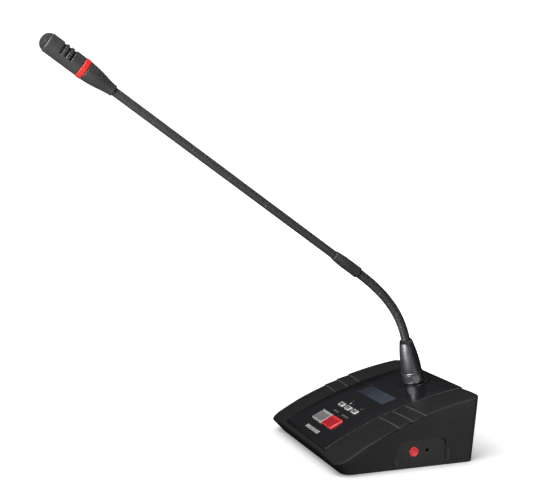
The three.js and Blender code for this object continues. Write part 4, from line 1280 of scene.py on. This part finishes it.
def stage_floor():
    """Pale under the camera, dim to the object, and in mirrors bright only towards the front."""
    far = FLOOR_SIZE
    corners = [(-far, -far, 0), (far, -far, 0), (far, far, 0), (-far, far, 0)]
    mesh = raw_mesh("stage_floor", corners, [(0, 1, 2, 3)])
    floor = bpy.data.objects.new("stage_floor", mesh)
    bpy.context.scene.collection.objects.link(floor)
    material = bpy.data.materials.new("stage_floor")
    material.use_nodes = True
    nodes = Nodes(material.node_tree)
    where = nodes.add("ShaderNodeTexCoord").outputs["Object"]
    ray = nodes.add("ShaderNodeLightPath")
    length = nodes.add("ShaderNodeVectorMath", where)
    length.operation = "LENGTH"
    glow = nodes.spread(length.outputs["Value"], *FLOOR_RING, FLOOR_NEAR, FLOOR_FAR)
    pale = nodes.add("ShaderNodeBsdfDiffuse", (0.85, 0.85, 0.85, 1))
    close = nodes.add("ShaderNodeAmbientOcclusion", Distance=CONTACT_REACH).outputs["AO"]
    glow = nodes.compute("MULTIPLY", glow, nodes.spread(close, 0.35, 0.95, CONTACT_SHADE, 1.0))
    lift = nodes.add("ShaderNodeEmission", WHITE, glow)
    seen = nodes.add("ShaderNodeAddShader", pale.outputs[0], lift.outputs[0])
    quiet = nodes.add("ShaderNodeBsdfDiffuse", (0.3, 0.3, 0.3, 1))
    frontward = nodes.dot(where, FLOOR_FRONT)
    sheen = nodes.spread(frontward, *MIRRORED_SPAN, MIRRORED_LOW, MIRRORED_HIGH)
    mirrored = nodes.add("ShaderNodeEmission", WHITE, sheen)
    glossy, camera_ray = ray.outputs["Is Glossy Ray"], ray.outputs["Is Camera Ray"]
    unseen = nodes.add("ShaderNodeMixShader", glossy, quiet.outputs[0], mirrored.outputs[0])
    both = nodes.add("ShaderNodeMixShader", camera_ray, unseen.outputs[0], seen.outputs[0])
    nodes.add("ShaderNodeOutputMaterial", both.outputs[0])
    mesh.materials.append(material)


def stage_world():
    """White to the camera; to everything else a dark room, a little lighter overhead."""
    world = bpy.data.worlds.new("studio")
    bpy.context.scene.world = world
    world.use_nodes = True
    nodes = Nodes(world.node_tree)
    where = nodes.add("ShaderNodeTexCoord").outputs["Generated"]
    strength = nodes.spread(nodes.dot(where, (0, 0, 1)), *DOME_SPAN, DOME_LOW, DOME_HIGH)
    ray = nodes.add("ShaderNodeLightPath").outputs["Is Camera Ray"]
    white = nodes.add("ShaderNodeBackground", WHITE, BACKDROP).outputs[0]
    dome = nodes.add("ShaderNodeBackground", WHITE, strength).outputs[0]
    both = nodes.add("ShaderNodeMixShader", ray, dome, white)
    nodes.add("ShaderNodeOutputWorld", both.outputs[0])


def softbox(name, bearing, elevation, distance, target, wide, high, power, lit=None):
    """bearing is degrees to the camera's left. lit names the only things it shines on."""
    level, rise = math.radians(CAMERA_BEARING - bearing), math.radians(elevation)
    away = Vector((math.cos(level) * math.cos(rise), math.sin(level) * math.cos(rise), math.sin(rise)))
    data = bpy.data.lights.new(name, "AREA")
    data.shape = "RECTANGLE"
    data.size, data.size_y, data.energy = wide, high, power
    lamp = bpy.data.objects.new(name, data)
    lamp.location = target + away * distance
    lamp.rotation_mode = "QUATERNION"
    lamp.rotation_quaternion = away.to_track_quat("Z", "Y")
    bpy.context.scene.collection.objects.link(lamp)
    if lit is not None:
        group = bpy.data.collections.new(name)
        for thing in lit:
            group.objects.link(thing)
        lamp.light_linking.receiver_collection = group


stage_floor()
stage_world()
pieces = [thing for thing in bpy.context.scene.objects if thing.type == "MESH" and thing.data.materials]
pieces = [thing for thing in pieces if thing.name != "stage_floor"]


def wearing(*names):
    finishes = [FINISHES[name] for name in names]
    return [thing for thing in pieces if thing.data.materials[0] in finishes]


metal_things = wearing("gunmetal", "black_metal", "black_lacquer", "foam_grey", "light_red")
key_things = wearing("grey_key_plastic", "red_key_plastic", "silver_key_plastic")
base_things = [thing for thing in pieces if thing not in metal_things]
softbox("light_key", 45, 52, 1.3, BASE_MIDDLE, 0.8, 0.8, 13.5)
softbox("light_side", -30, 12, 1.2, BASE_MIDDLE, 0.8, 0.6, 14, base_things)
softbox("light_strip", 47, 4, 1.6, NECK_MIDDLE, 0.8, 1.2, 45, metal_things)
softbox("light_front", 40, 12, 1.2, BASE_MIDDLE, 0.6, 0.6, 5.5, key_things)

camera_data = bpy.data.cameras.new("camera")
camera_data.lens = CAMERA_LENS
camera_data.sensor_width = 36.0
camera_data.clip_end = 50
camera = bpy.data.objects.new("camera", camera_data)
camera.matrix_world = (
    Matrix.Translation(CAMERA_PLACE)
    @ Matrix.Rotation(math.radians(CAMERA_BEARING + 90), 4, "Z")
    @ Matrix.Rotation(math.radians(90 - CAMERA_RISE), 4, "X")
    @ Matrix.Rotation(math.radians(CAMERA_ROLL), 4, "Z")
)
bpy.context.scene.collection.objects.link(camera)
bpy.context.scene.camera = camera
bpy.context.scene.view_settings.view_transform = "Standard"
